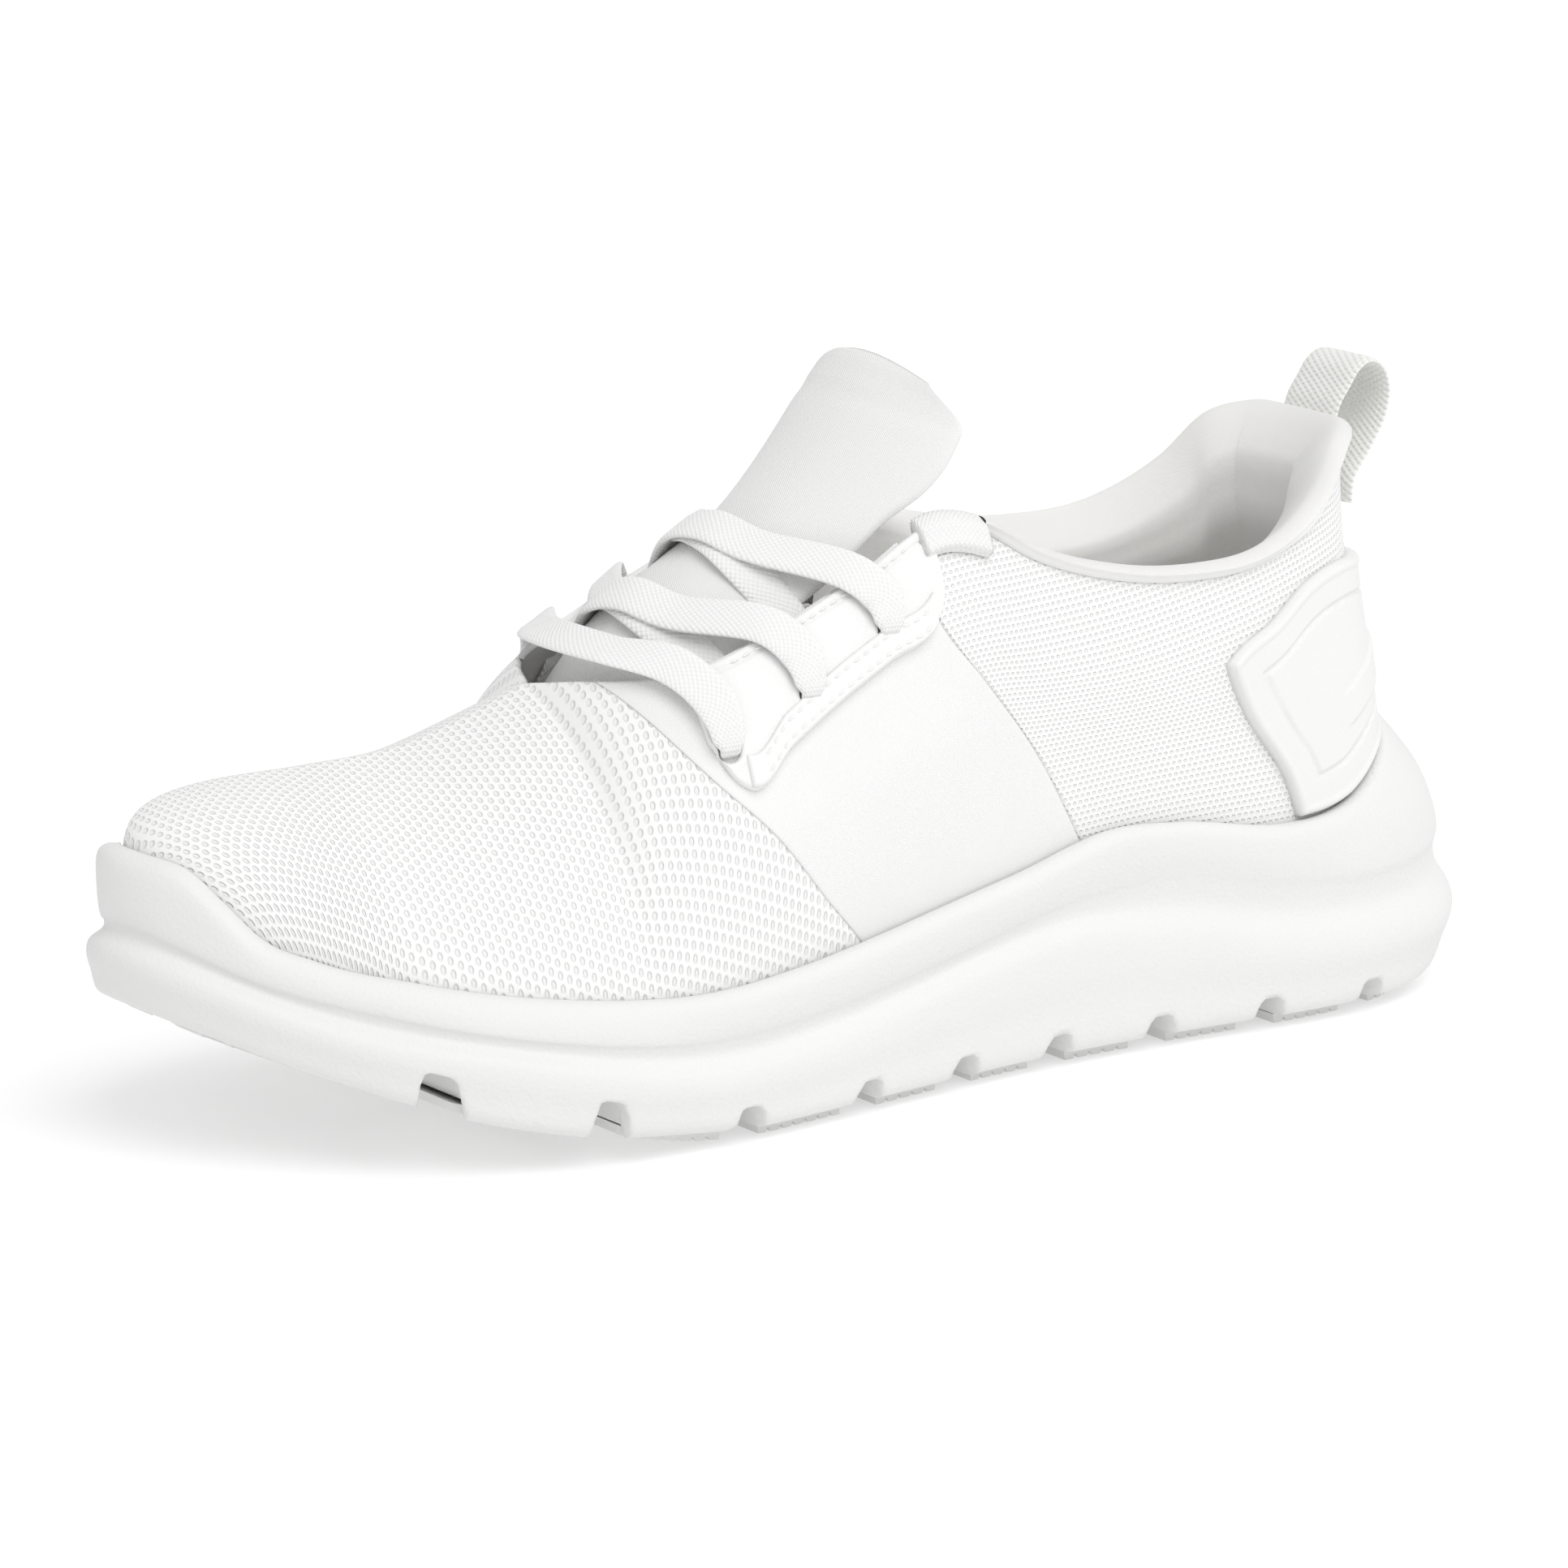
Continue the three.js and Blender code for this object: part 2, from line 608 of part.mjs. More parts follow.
// Toe puff and heel stiffener, between the fabric and the lining.
const stiffenerMid = STIFFENER_OUT - STIFFENER / 2;
const toePuffRear = (h) => turnAt(262 + 12 * h, 1);
const atLevel = (z) => (turn) => heightAt(turn, z);
const puffEnds = [toePuffRear, (h) => 2 - toePuffRear(h)];
const puff = patch(...puffEnds, always(FOOT_EDGE), atLevel(62), 12, 4, always(stiffenerMid));
add("toe_puff", "board", sheetOf(puff, STIFFENER));
const stiffenerFront = (h) => turnAt(62 - 20 * h, 1);
const stiffenerEnds = [(h) => -stiffenerFront(h), stiffenerFront];
const stiffener = patch(...stiffenerEnds, always(FOOT_EDGE), atLevel(70), 20, 5, always(stiffenerMid));
add("heel_stiffener", "board", sheetOf(stiffener, STIFFENER));

// A closed solid between two grids of the same size, the outer one facing out.
function between(outer, inner) {
  const flipped = (grid) => gridTriangles(grid).map(([a, b, c]) => [a, c, b]);
  const last = outer.length - 1;
  const top = outer[0].length - 1;
  const rim0 = (grid) => [
    ...grid.map((column) => column[0]),
    ...grid[last].slice(1),
    ...grid.slice(0, last).reverse().map((column) => column[top]),
    ...grid[0].slice(1, top).reverse(),
  ];
  const [a, b] = [rim0(outer), rim0(inner)];
  const walls = gridTriangles([...a, a[0]].map((p, i) => [p, [...b, b[0]][i]])).map(([p, q, r]) => [p, q, r]);
  return geometryOf([...flipped(outer), ...gridTriangles(inner), ...walls]);
}

// Lining: the forepart's, and the collar's, which rolls over the topline.
// The seam between the two leans forward as it rises, then stands upright.
const liningSeam = (h, side, by) => turnAt(mix(112, 132, smooth(0, 0.5, h)) + by, side);
const LINING_SETBACK = 0.5; // the forepart's lining hangs a little clear of the fabric
{
  const from = (h) => liningSeam(h, 1, HALF_SEAM);
  const ridge = (turn) => mix(0.66, 1, smooth(214, 234, stationAt(turn)));
  const mid = always(LINING_OUT - LINING / 2 - LINING_SETBACK);
  const grid = patch(from, (h) => 2 - from(h), always(FOOT_EDGE), ridge, 28, 6, mid);
  add("vamp_lining", "lining", sheetOf(grid, LINING));
}

// The collar's padding starts at this level and swells to its full depth over its lower half.
const PAD_START = 73;
const padStart = (turn) => Math.max(brimHeight(stationAt(turn)) - 34, PAD_START);
const PAD_END = 106; // station where the padding dies out
const padDepth = (turn, share) => {
  const along = smooth(PAD_END + 12, PAD_END - 14, stationAt(turn));
  return COLLAR_PAD * along * smooth(0, 0.5, share) * smooth(1.04, 0.72, share);
};
const PAD_ROWS = [0, 0.2, 0.4, 0.6, 0.78, 0.9];
const COLLAR_COLUMNS = 30;
const collarEnd = (h) => liningSeam(h, 1, -HALF_SEAM);
// Places of the collar's grid: the turn of each column, and a height for a row of the padding.
const collarTurn = (i, h) => mix(-collarEnd(h), collarEnd(h), i / COLLAR_COLUMNS);
const padHeight = (turn, share) => heightAt(turn, mix(padStart(turn), brimHeight(stationAt(turn)), share));
const LOW_ROWS = 4;
const ROLL_DROP = 4; // how far the rolled edge comes down outside

function collarGrid(depth) {
  return Array.from({ length: COLLAR_COLUMNS + 1 }, (_, i) => {
    const t = collarTurn(i, 0.9);
    const low = Array.from({ length: LOW_ROWS }, (_, j) => {
      const h = mix(FOOT_EDGE, padHeight(t, 0), j / LOW_ROWS);
      const turn = collarTurn(i, h);
      return at(turn, h, LINING_OUT + depth);
    });
    const soft = PAD_ROWS.map((share) => at(t, padHeight(t, share), LINING_OUT + depth - padDepth(t, share)));
    const top = at(t, 0.985, FABRIC_MID);
    top.z += 1.2 - depth;
    const over = at(t, 1, FABRIC_MID).sub(at(t, 0.985, FABRIC_MID));
    const dropHeight = heightAt(t, brimHeight(stationAt(t)) - ROLL_DROP);
    const crown = at(t, 0.985, GAP + 0.1 - depth);
    crown.z += 0.9 - depth * 0.7;
    return [...low, ...soft, top.add(over.multiplyScalar(0.2)), crown, at(t, dropHeight, GAP - depth)];
  });
}
// The lining faces the foot, so its hidden face is the outer one until it rolls over.
add("collar_lining", "lining", between(collarGrid(0), collarGrid(-LINING)));
{
  const first = 4;
  const count = COLLAR_COLUMNS - 2 * first + 1;
  const columns = Array.from({ length: count }, (_, i) => collarTurn(i + first, 0.9));
  const place = (t, share, depth, swell) => at(t, padHeight(t, share), depth - swell * padDepth(t, share));
  const face = (depth, swell) => columns.map((t) => PAD_ROWS.map((share) => place(t, share, depth, swell)));
  add("collar_padding", "padding", between(face(-FABRIC - GAP, 0), face(LINING_OUT + GAP, 1)));
}

// Overlays
const OVER = GAP + OVERLAY / 2;
const counterFront = line([[30, 55], [39.5, 57], [50, 60.5], [63, 69], [72, 72.5], [90, 74]]);
const counterTop = line([[0, 88], [20, 88.5], [35, 88.5], [47, 86], [59, 80], [71, 74.5], [75, 71]]);
{
  const front = (h) => meet(counterFront, h, 1);
  const low = (turn) => heightAt(turn, rim(stationAt(turn)) + 1.2);
  const high = (turn) => heightAt(turn, counterTop(stationAt(turn)));
  const grid = patch((h) => -front(h), front, low, high, 24, 5, always(GAP + 0.15 + COUNTER_WALL / 2));
  add("heel_counter", "moulded", sheetOf(grid, COUNTER_WALL));
}

const stayLow = line([
  [143.5, 96], [145, 92], [146.5, 90.1], [158.6, 84], [170.7, 77.7], [181.2, 71.1], [190.7, 64.5], [193.4, 67],
  [196, 73],
]);
const TRIM = 0.8;
const STAY_REAR = 143.5;
const STAY_FRONT = 196;
const TRIM_REAR = 147.5;
const TRIM_FRONT = 190;
const TRIM_RISE = [0.8, 4.2]; // the strip's two edges, over the eyestay's lower one
// From the throat's edge to the middle of an eyelet, against station.
const eyeletDrop = line([[158, 13], [176, 15], [193, 18]]);
// The height of an eyelet on its profile.
function eyeletHeight(turn) {
  const top = upper(turn, 1);
  const drop = eyeletDrop(stationAt(turn));
  let h = 1;
  while (upper(turn, h).distanceTo(top) < drop) h -= 0.004;
  return h;
}
const eyeletHole = (side, station) => {
  const turn = turnAt(station, side);
  const c = at(turn, eyeletHeight(turn), 0);
  const n = normal(turn, eyeletHeight(turn));
  const g = new THREE.CylinderGeometry(EYELET_R, EYELET_R, 14, 16);
  g.applyQuaternion(new THREE.Quaternion().setFromUnitVectors(new THREE.Vector3(0, 1, 0), n));
  g.translate(c.x, c.y, c.z);
  return toSolid(g);
};

function pierced(geometry, side) {
  let solid = toSolid(geometry);
  for (const station of EYELETS) solid = solid.subtract(eyeletHole(side, station));
  return toGeometry(solid);
}

for (const [word, side] of bothSides) {
  const rear = always(turnAt(STAY_REAR, side));
  const front = always(turnAt(STAY_FRONT, side));
  const low = (turn) => heightAt(turn, stayLow(stationAt(turn)));
  const ends = side > 0 ? [rear, front] : [front, rear];
  const stay = patch(...ends, low, always(0.985), 16, 4, always(OVER));
  add(`eyestay_${word}`, "leather", pierced(sheetOf(stay, OVERLAY), side));
  const strip = (by) => (turn) => heightAt(turn, stayLow(stationAt(turn)) + by);
  const stripDepth = 2 * GAP + OVERLAY + TRIM / 2;
  const trimEnds = [always(turnAt(TRIM_REAR, side)), always(turnAt(TRIM_FRONT, side))];
  const inner = side > 0 ? trimEnds : trimEnds.reverse();
  const trim = patch(...inner, strip(TRIM_RISE[0]), strip(TRIM_RISE[1]), 12, 1, always(stripDepth));
  add(`eyestay_trim_${word}`, "leather", sheetOf(trim, TRIM));
}

// ------------------------------------------------------------------------------------------

// Elastic binding folded over the topline between the collar and the eyestay.
const BAND = 0.9;
for (const [word, side] of bothSides) {
  const rear = turnAt(133, side);
  const front = turnAt(143, side);
  const outer = GAP + BAND / 2 + 1;
  const inner = -FABRIC - GAP - BAND / 2 - 0.3;
  const grid = Array.from({ length: 6 }, (_, i) => {
    const turn = side > 0 ? mix(rear, front, i / 5) : mix(front, rear, i / 5);
    const top = at(turn, 1, FABRIC_MID);
    const up = top.clone().sub(at(turn, 0.95, FABRIC_MID)).normalize();
    return [
      at(turn, 0.87, inner),
      at(turn, 0.99, inner),
      top.addScaledVector(up, GAP + BAND / 2 + 0.3),
      at(turn, 0.99, outer),
      at(turn, 0.93, outer),
      at(turn, 0.87, outer),
    ];
  });
  add(`collar_band_${word}`, "leather", sheetOf(grid.map((column) => column.reverse()), BAND));
}

// ------------------------------------------------------------------------------------------
// Tongue
// ------------------------------------------------------------------------------------------

const TONGUE = 4;
const TONGUE_SHIFT = 2.9; // the throat's centre, towards the lateral side
const TONGUE_ARCH = 0.021; // drop off the centre line for each square millimetre of breadth
const tongueSpine = new THREE.CatmullRomCurve3(
  [
    [216, 65.5], [208, 76.5], [194, 91.5], [178, 101.8], [167.5, 108], [157, 117.5], [147.5, 129], [139.5, 138.6],
  ].map(([s, z]) => new THREE.Vector3(s, 0, z)),
  false,
  "centripetal",
);
const tongueHalf = line([
  [0, 12], [0.12, 18], [0.3, 21.5], [0.6, 21.5], [0.7, 22.5], [0.77, 25.5], [0.86, 26], [0.93, 24.5], [1, 17],
]);
// Towards its top the tongue's wings bend back round the ankle instead of down over the foot.
const TONGUE_WRAP = 0.7;


const tongueNormal = (w) => {
  const t = tongueSpine.getTangent(clamp(w, 0, 1));
  return new THREE.Vector3(t.z, 0, -t.x);
};
function tonguePoint(v, w, depth) {
  const n = tongueNormal(w);
  const bend = n.clone().lerp(new THREE.Vector3(1, 0, 0.1), TONGUE_WRAP * smooth(0.5, 0.8, w)).normalize();
  const p = tongueSpine.getPoint(clamp(w, 0, 1));
  p.addScaledVector(n, depth);
  p.addScaledVector(bend, -TONGUE_ARCH * v * v);
  p.y = v + TONGUE_SHIFT;
  return p;
}
{
  const rows = 10;
  const strips = 8;
  const face = (depth) =>
    Array.from({ length: strips + 1 }, (_, i) =>
      Array.from({ length: rows + 1 }, (_, j) => {
        const w = j / rows;
        const x = (2 * i) / strips - 1;
        const rounding = w > 0.93 ? 1 - 0.02 * x * x : 1;
        return tonguePoint(tongueHalf(w) * x, w * rounding, depth);
      }),
    );
  add("tongue", "stretch", between(face(0).reverse(), face(-TONGUE).reverse()));
}

// ------------------------------------------------------------------------------------------
// Lace
// ------------------------------------------------------------------------------------------

// A ribbon through a list of places, each with the way its flat side faces and its half width.
function ribbon(stops, thickness, steps) {
  const path = new THREE.CatmullRomCurve3(stops.map((k) => k.p), false, "centripetal");
  const count = (stops.length - 1) * steps;
  const sections = Array.from({ length: count + 1 }, (_, i) => {
    const u = i / count;
    const k = Math.min(stops.length - 2, Math.floor(u * (stops.length - 1)));
    const f = u * (stops.length - 1) - k;
    const tangent = path.getTangent(u);
    const face = stops[k].n.clone().lerp(stops[k + 1].n, f);
    const wide = tangent.clone().cross(face).normalize();
    const flat = wide.clone().cross(tangent).normalize();
    const half = mix(stops[k].half, stops[k + 1].half, smooth(0, 1, f));
    const [a, b] = [half, thickness / 2];
    const corners = [[a, 0], [a * 0.82, b], [-a * 0.82, b], [-a, 0], [-a * 0.82, -b], [a * 0.82, -b]];
    const c = path.getPoint(u);
    return corners.map(([x, y]) => c.clone().addScaledVector(wide, x).addScaledVector(flat, y));
  });
  const closed = sections.map((ring) => [...ring, ring[0]]);
  const cap = (ring) => Array.from({ length: 4 }, (_, i) => [ring[0], ring[i + 1], ring[i + 2]]);
  const end = sections[sections.length - 1];
  const endCap = cap(end).map(([a, b, c]) => [a, c, b]);
  return geometryOf([...gridTriangles(closed), ...cap(sections[0]), ...endCap]);
}

const LACE_OUT = 2 * GAP + OVERLAY + LACE_THICK / 2;
const LACE_IN = -FABRIC - GAP - LACE_THICK / 2;
const eyeletTurn = (k, side) => turnAt(EYELETS[3 - k], side);
const awayFromThroat = (turn) => {
  const h = eyeletHeight(turn);
  return upper(turn, h - 0.05).sub(upper(turn, h)).normalize();
};

// The lace beside and through eyelet k, counted from the toe: outside first.
function throughEyelet(k, side) {
  const turn = eyeletTurn(k, side);
  const h = eyeletHeight(turn);
  const n = normal(turn, h);
  const away = awayFromThroat(turn);
  const spot = (depth) => at(turn, h, depth);
  return [
    { p: spot(LACE_OUT).addScaledVector(away, -3), n, half: 2.6 },
    { p: spot(LACE_OUT - 0.7), n: n.clone().add(away), half: 1.7 },
    { p: spot(FABRIC_MID), n: away, half: LACE_CORE },
    { p: spot(LACE_IN + 0.5), n: away.clone().sub(n), half: 1.7 },
    { p: spot(LACE_IN).addScaledVector(away, -3.2), n: n.clone().negate(), half: 2.6 },
  ];
}

// Where a strand passes the throat's edge: over the eyestay, or under it.
const overEdge = (k, side) => {
  const turn = turnAt(EYELETS[3 - k] + 3, side);
  return { p: at(turn, 1, LACE_OUT + 0.2), n: normal(turn, 0.98), half: LACE_WIDTH / 2 };
};
const underEdge = (k, side) => {
  const turn = turnAt(EYELETS[3 - k] - 3, side);
  return { p: at(turn, 0.97, LACE_IN - 1.4), n: normal(turn, 0.98), half: LACE_WIDTH / 2 };
};

const tongueShare = (station, v) => {
  let low = 0;
  let high = 1;
  for (let i = 0; i < 24; i += 1) {
    const mid = (low + high) / 2;
    if (tonguePoint(v, mid, 0).x > station) low = mid;
    else high = mid;
  }
  return low;
};

// Stops across the tongue from one throat edge to the other, at a layer of laces over the tongue.
function overTongue(from, to, layer) {
  const wa = tongueShare(from.x, from.y - TONGUE_SHIFT);
  const wb = tongueShare(to.x, to.y - TONGUE_SHIFT);
  return [0.3, 0.5, 0.7].map((f) => {
    const v = mix(from.y, to.y, f) - TONGUE_SHIFT;
    const w = mix(wa, wb, f);
    const lift = layer * (LACE_THICK + GAP) * (f === 0.5 ? 1 : 0.6);
    const p = tonguePoint(v, w, GAP + LACE_THICK / 2 + 1 + lift);
    const n = tongueNormal(w).add(new THREE.Vector3(0, Math.sign(v) * 0.35, 0));
    return { p, n, half: LACE_WIDTH / 2 };
  });
}

function strandOver(k, side, layer) {
  const a = overEdge(k, side);
  const b = underEdge(k - 1, -side);
  return [a, ...overTongue(a.p, b.p, layer), b];
}

// From the hidden end at the top: out of an eyelet, across, under the other edge, and out of the next one.
function half(side, layer) {
  const turn = eyeletTurn(3, side);
  const h = eyeletHeight(turn);
  const end = at(turn, h, LACE_IN).addScaledVector(awayFromThroat(turn), 7);
  const tail = { p: end, n: normal(turn, h).negate(), half: 2.6 };
  const top = throughEyelet(3, side).slice(0, 4).reverse();
  const middle = throughEyelet(2, -side).reverse();
  const low = throughEyelet(1, side).reverse();
  return [tail, ...top, ...strandOver(3, side, layer), ...middle, ...strandOver(2, -side, 1 - layer), ...low];
}
// The lowest bar lies straight over the front of the throat.
const BAR_STATION = 206;
const BAR_RISE = 89;
const barEnds = [overEdge(1, 1), overEdge(1, -1)];
const bar = [0.25, 0.5, 0.75].map((f) => {
  const p = barEnds[0].p.clone().lerp(barEnds[1].p, f);
  const crown = 1 - (2 * f - 1) ** 2;
  p.x = mix(p.x, BAR_STATION, crown);
  p.z = mix(p.z, BAR_RISE, crown);
  return { p, n: new THREE.Vector3(0.45, 0, 1).normalize(), half: LACE_WIDTH / 2 };
});
const stops = [...half(1, 1), barEnds[0], ...bar, barEnds[1], ...half(-1, 0).reverse()];
const laceShape = ribbon(stops, LACE_THICK, 2);
add("lace", "lace", laceShape);

// The eyelets are opened, and the pieces beside the lace eased, by the lace itself and a clearance round it.
const LACE_CLEAR = 0.4;
const eased = ribbon(stops.map((k) => ({ ...k, half: k.half + LACE_CLEAR })), LACE_THICK + 2 * LACE_CLEAR, 2);
const laceRoom = toSolid(eased);

// The tongue is pressed down about its sewn front end, and keeps clear of the lace all the way.
const TONGUE_HINGE = [213, 72]; // station and height of the seam it bends about
const TONGUE_TURN = 3; // degrees
const TONGUE_STEPS = 5;
const TONGUE_SENSE = -1; // the way the far end goes down, about the breadth axis
function tongueRoom() {
  const [station, height] = TONGUE_HINGE;
  let room = laceRoom;
  for (let i = 1; i <= TONGUE_STEPS; i += 1) {
    const angle = (-TONGUE_SENSE * TONGUE_TURN * i) / TONGUE_STEPS;
    const atHinge = laceRoom.translate([-station, 0, -height]);
    room = room.add(atHinge.rotate([0, angle, 0]).translate([station, 0, height]));
  }
  return room;
}
for (const mesh of shoe.children) {
  if (!/^(saddle|eyestay|vamp|tongue|collar_band)/.test(mesh.name)) continue;
  const side = mesh.name.endsWith("lateral") ? 1 : -1;
  const opened = mesh.name.startsWith("saddle") ? pierced(mesh.geometry, side) : mesh.geometry;
  const room = mesh.name === "tongue" ? tongueRoom() : laceRoom;
  const pieces = toSolid(opened).subtract(room).subtract(toSolid(laceShape)).decompose();
  mesh.geometry = toGeometry(pieces.sort((p, q) => q.volume() - p.volume())[0]);
}

// ------------------------------------------------------------------------------------------
// Pull tab
// ------------------------------------------------------------------------------------------

const TAB_WIDTH = 17;
const TAB_THICK = 1.3;
{
  const loop = [
    [23.2, 96], [22.6, 101], [18.8, 106.5], [15, 113], [14, 118.5], [15.6, 122.8], [18.6, 124.4], [21.6, 123],
    [24.2, 119.6], [26.4, 116.4],
  ];
  const stops = loop.map(([s, z], i) => {
    const a = loop[Math.max(0, i - 1)];
    const b = loop[Math.min(loop.length - 1, i + 1)];
    const n = new THREE.Vector3(b[1] - a[1], 0, a[0] - b[0]).normalize();
    return { p: new THREE.Vector3(s, 0, z), n, half: TAB_WIDTH / 2 };
  });
  add("pull_tab", "webbing", ribbon(stops, TAB_THICK, 2));
}

// ------------------------------------------------------------------------------------------

// The shoe is turned toe forward, and its box is centred over the origin and stood on the ground.
const whole = new THREE.Group();
whole.add(shoe);
shoe.rotation.z = -Math.PI / 2;
whole.updateMatrixWorld(true);
const box = new THREE.Box3().setFromObject(whole, true);
shoe.position.set(-(box.min.x + box.max.x) / 2, -(box.min.y + box.max.y) / 2, -box.min.z);
whole.updateMatrixWorld(true);
export default whole;
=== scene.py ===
"""Looks of a left running shoe: fine cloth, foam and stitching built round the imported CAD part.

Shapes are worked out in the shoe's own frame, in millimetres: station from the heel to the toe,
breadth towards the lateral side and height from the ground. place() turns them into metres.
"""

import json
import math

import bpy
import numpy as np
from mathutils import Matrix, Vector


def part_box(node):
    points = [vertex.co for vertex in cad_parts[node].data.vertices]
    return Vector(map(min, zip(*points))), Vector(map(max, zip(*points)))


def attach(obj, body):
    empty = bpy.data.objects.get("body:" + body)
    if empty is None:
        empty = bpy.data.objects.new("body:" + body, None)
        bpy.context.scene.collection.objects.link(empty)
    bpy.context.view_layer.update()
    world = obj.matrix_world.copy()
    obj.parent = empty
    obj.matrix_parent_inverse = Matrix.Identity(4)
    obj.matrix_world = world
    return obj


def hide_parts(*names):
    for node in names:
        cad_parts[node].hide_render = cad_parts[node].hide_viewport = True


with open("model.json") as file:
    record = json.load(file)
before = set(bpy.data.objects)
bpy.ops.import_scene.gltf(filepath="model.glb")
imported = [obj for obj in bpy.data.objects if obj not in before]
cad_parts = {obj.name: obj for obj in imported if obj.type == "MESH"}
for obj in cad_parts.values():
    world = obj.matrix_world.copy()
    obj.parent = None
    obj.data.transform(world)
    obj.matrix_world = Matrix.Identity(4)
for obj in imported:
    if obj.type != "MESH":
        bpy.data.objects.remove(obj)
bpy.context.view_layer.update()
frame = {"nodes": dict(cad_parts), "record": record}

# ---------------------------------------- dimensions, mm

LENGTH = 300.0
GAP = 0.4
CUP_GAP = 0.6
FABRIC = 1.2
OVERLAY = 1.2
COUNTER_WALL = 2.0
LINING = 1.2
STIFFENER = 0.9
LINING_OUT = -(FABRIC + GAP + STIFFENER + GAP)
COLLAR_PAD = 6.0
RIM = 4.2
PAD = 1.8
PAD_INSET = 3.5
TOE_LIFT = 1.6
SKIRT_RISE = 0.5
GROOVE_WIDTH = 7.0
GROOVE_HEIGHT = 5.0
GROOVES = (41, 67, 93, 118, 142, 167, 197, 228, 259)
FOOT_EDGE = 0.03
MEDIAL_THROAT = 0.77
EYELETS = (158, 176, 193)
LACE_WIDTH = 8.4
LACE_THICK = 1.5
TONGUE = 4.0
TONGUE_SHIFT = 2.9
TONGUE_ARCH = 0.021
TAB_WIDTH = 17.0
TAB_THICK = 1.5
THROAT_FRONT = 216  # station where the throat closes on the ridge of the vamp
BAR_STATION = 206  # the lowest strand of the lace, where it crosses the ridge
BAR_HEIGHT = 89

# ---------------------------------------- studio

CAMERA_AZIMUTH = 56  # degrees
CAMERA_ELEVATION = 13
CAMERA_DISTANCE = 1.5  # metres
CAMERA_LENS = 178.0
CAMERA_SHIFT = (-0.0118, 0.0094)
TARGET_HEIGHT = 0.05
WORLD_STRENGTH = 0.70
FLOOR_HALF = 6.0
FLOOR_GREY = 0.6
FLOOR_GLOW = 0.42
KEY_SUN = {"position": (1.0, -0.1, 1.35), "strength": 1.35, "softness": 42}
SIDE_SUN = {"position": (0.25, 1.0, 0.6), "strength": 0.25, "softness": 50}

tab_low, tab_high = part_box("pull_tab")
sole_low, sole_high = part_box("midsole")
SHIFT_X = (tab_low[0] + tab_high[0]) / 2
SHIFT_Y = (sole_low[1] + sole_high[1]) / 2


def place(p):
    """Shoe millimetres to scene metres."""
    p = np.asarray(p, float)
    return np.stack(
        [p[..., 1] / 1000 + SHIFT_X, (LENGTH / 2 - p[..., 0]) / 1000 + SHIFT_Y, p[..., 2] / 1000], -1
    )


# ---------------------------------------- smooth lines


def line(points):
    """A smooth function through points, straight beyond its ends; it takes numbers or arrays."""
    xs = np.array([p[0] for p in points], float)
    ys = np.array([p[1] for p in points], float)
    slope = np.diff(ys) / np.diff(xs)
    gaps = np.diff(xs)
    tangent = np.empty(len(xs))
    tangent[0], tangent[-1] = slope[0], slope[-1]
    tangent[1:-1] = (slope[:-1] * gaps[1:] + slope[1:] * gaps[:-1]) / (gaps[:-1] + gaps[1:])

    def value(x):
        x = np.asarray(x, float)
        i = np.clip(np.searchsorted(xs, x) - 1, 0, len(xs) - 2)
        span = xs[i + 1] - xs[i]
        t = (x - xs[i]) / span
        inside = np.clip(t, 0, 1)
        t2, t3 = inside**2, inside**3
        y = (
            ys[i] * (2 * t3 - 3 * t2 + 1)
            + tangent[i] * span * (t3 - 2 * t2 + inside)
            + ys[i + 1] * (3 * t2 - 2 * t3)
            + tangent[i + 1] * span * (t3 - t2)
        )
        before = np.where(t < 0, tangent[0] * (x - xs[0]), 0)
        return y + before + np.where(t > 1, tangent[-1] * (x - xs[-1]), 0)

    return value


def mix(a, b, t):
    """From a to b as t goes from 0 to 1."""
    return a + (b - a) * t


def smooth(a, b, x):
    """From 0 at a to 1 at b, with level ends."""
    t = np.clip((np.asarray(x, float) - a) / (b - a), 0, 1)
    return t * t * (3 - 2 * t)


breadth_lateral = line([
    (0, 76), (14, 73), (40, 62), (80, 47.5), (120, 44), (160, 49.6), (200, 60), (230, 68),
    (258, 72), (282, 70), (300, 70),
])
breadth_medial = line([
    (0, 74), (14, 71), (40, 57.5), (80, 42), (120, 37), (160, 41.6), (200, 51), (230, 58.5),
    (258, 64), (282, 63), (300, 60),
])
centre_line = line([(0, 0), (120, 0), (200, -2), (258, -5.5), (300, -8)])
ground_line = line([
    (0, 5), (15, 1.2), (30, 0), (100, 0), (190, 0), (205, 1), (221, 3.4), (236, 6.2),
    (252, 9.8), (274, 17.2), (300, 28),
])


def ground(s):
    """Flat under the heel and the arch, and up towards the toe."""
    return np.maximum(0, ground_line(s))


lower_edge = line([
    (0, 20), (40, 18.5), (57, 19), (90, 24.5), (111, 26.8), (134, 24.5), (172, 18), (202, 16),
    (246, 23), (273, 29), (300, 41),
])
crease = line([
    (0, 33), (41, 29.5), (65, 31.5), (90, 35.5), (106, 34.5), (147, 27), (179, 22.7),
    (201, 21.5), (240, 25.5), (266, 31), (286, 37), (300, 45),
])
rim = line([
    (0, 57), (14, 55), (28, 50), (42, 43), (59, 40.6), (87, 44.2), (101, 45), (127, 39.4),
    (148, 35.8), (180, 31), (205, 29.2), (234, 31.4), (262, 36), (278, 40), (286, 44),
    (291, 50), (296, 55.5), (300, 57),
])
footbed = line([
    (0, 34), (40, 31), (90, 30), (130, 27), (160, 24), (200, 20), (230, 21.5), (260, 27),
    (285, 36), (300, 43),
])
feather_inset = line([
    (0, 22.5), (14, 17.8), (30, 11.6), (50, 8.6), (80, 7.4), (120, 6.6), (200, 7), (250, 7.8),
    (285, 7.8), (300, 7.4),
])
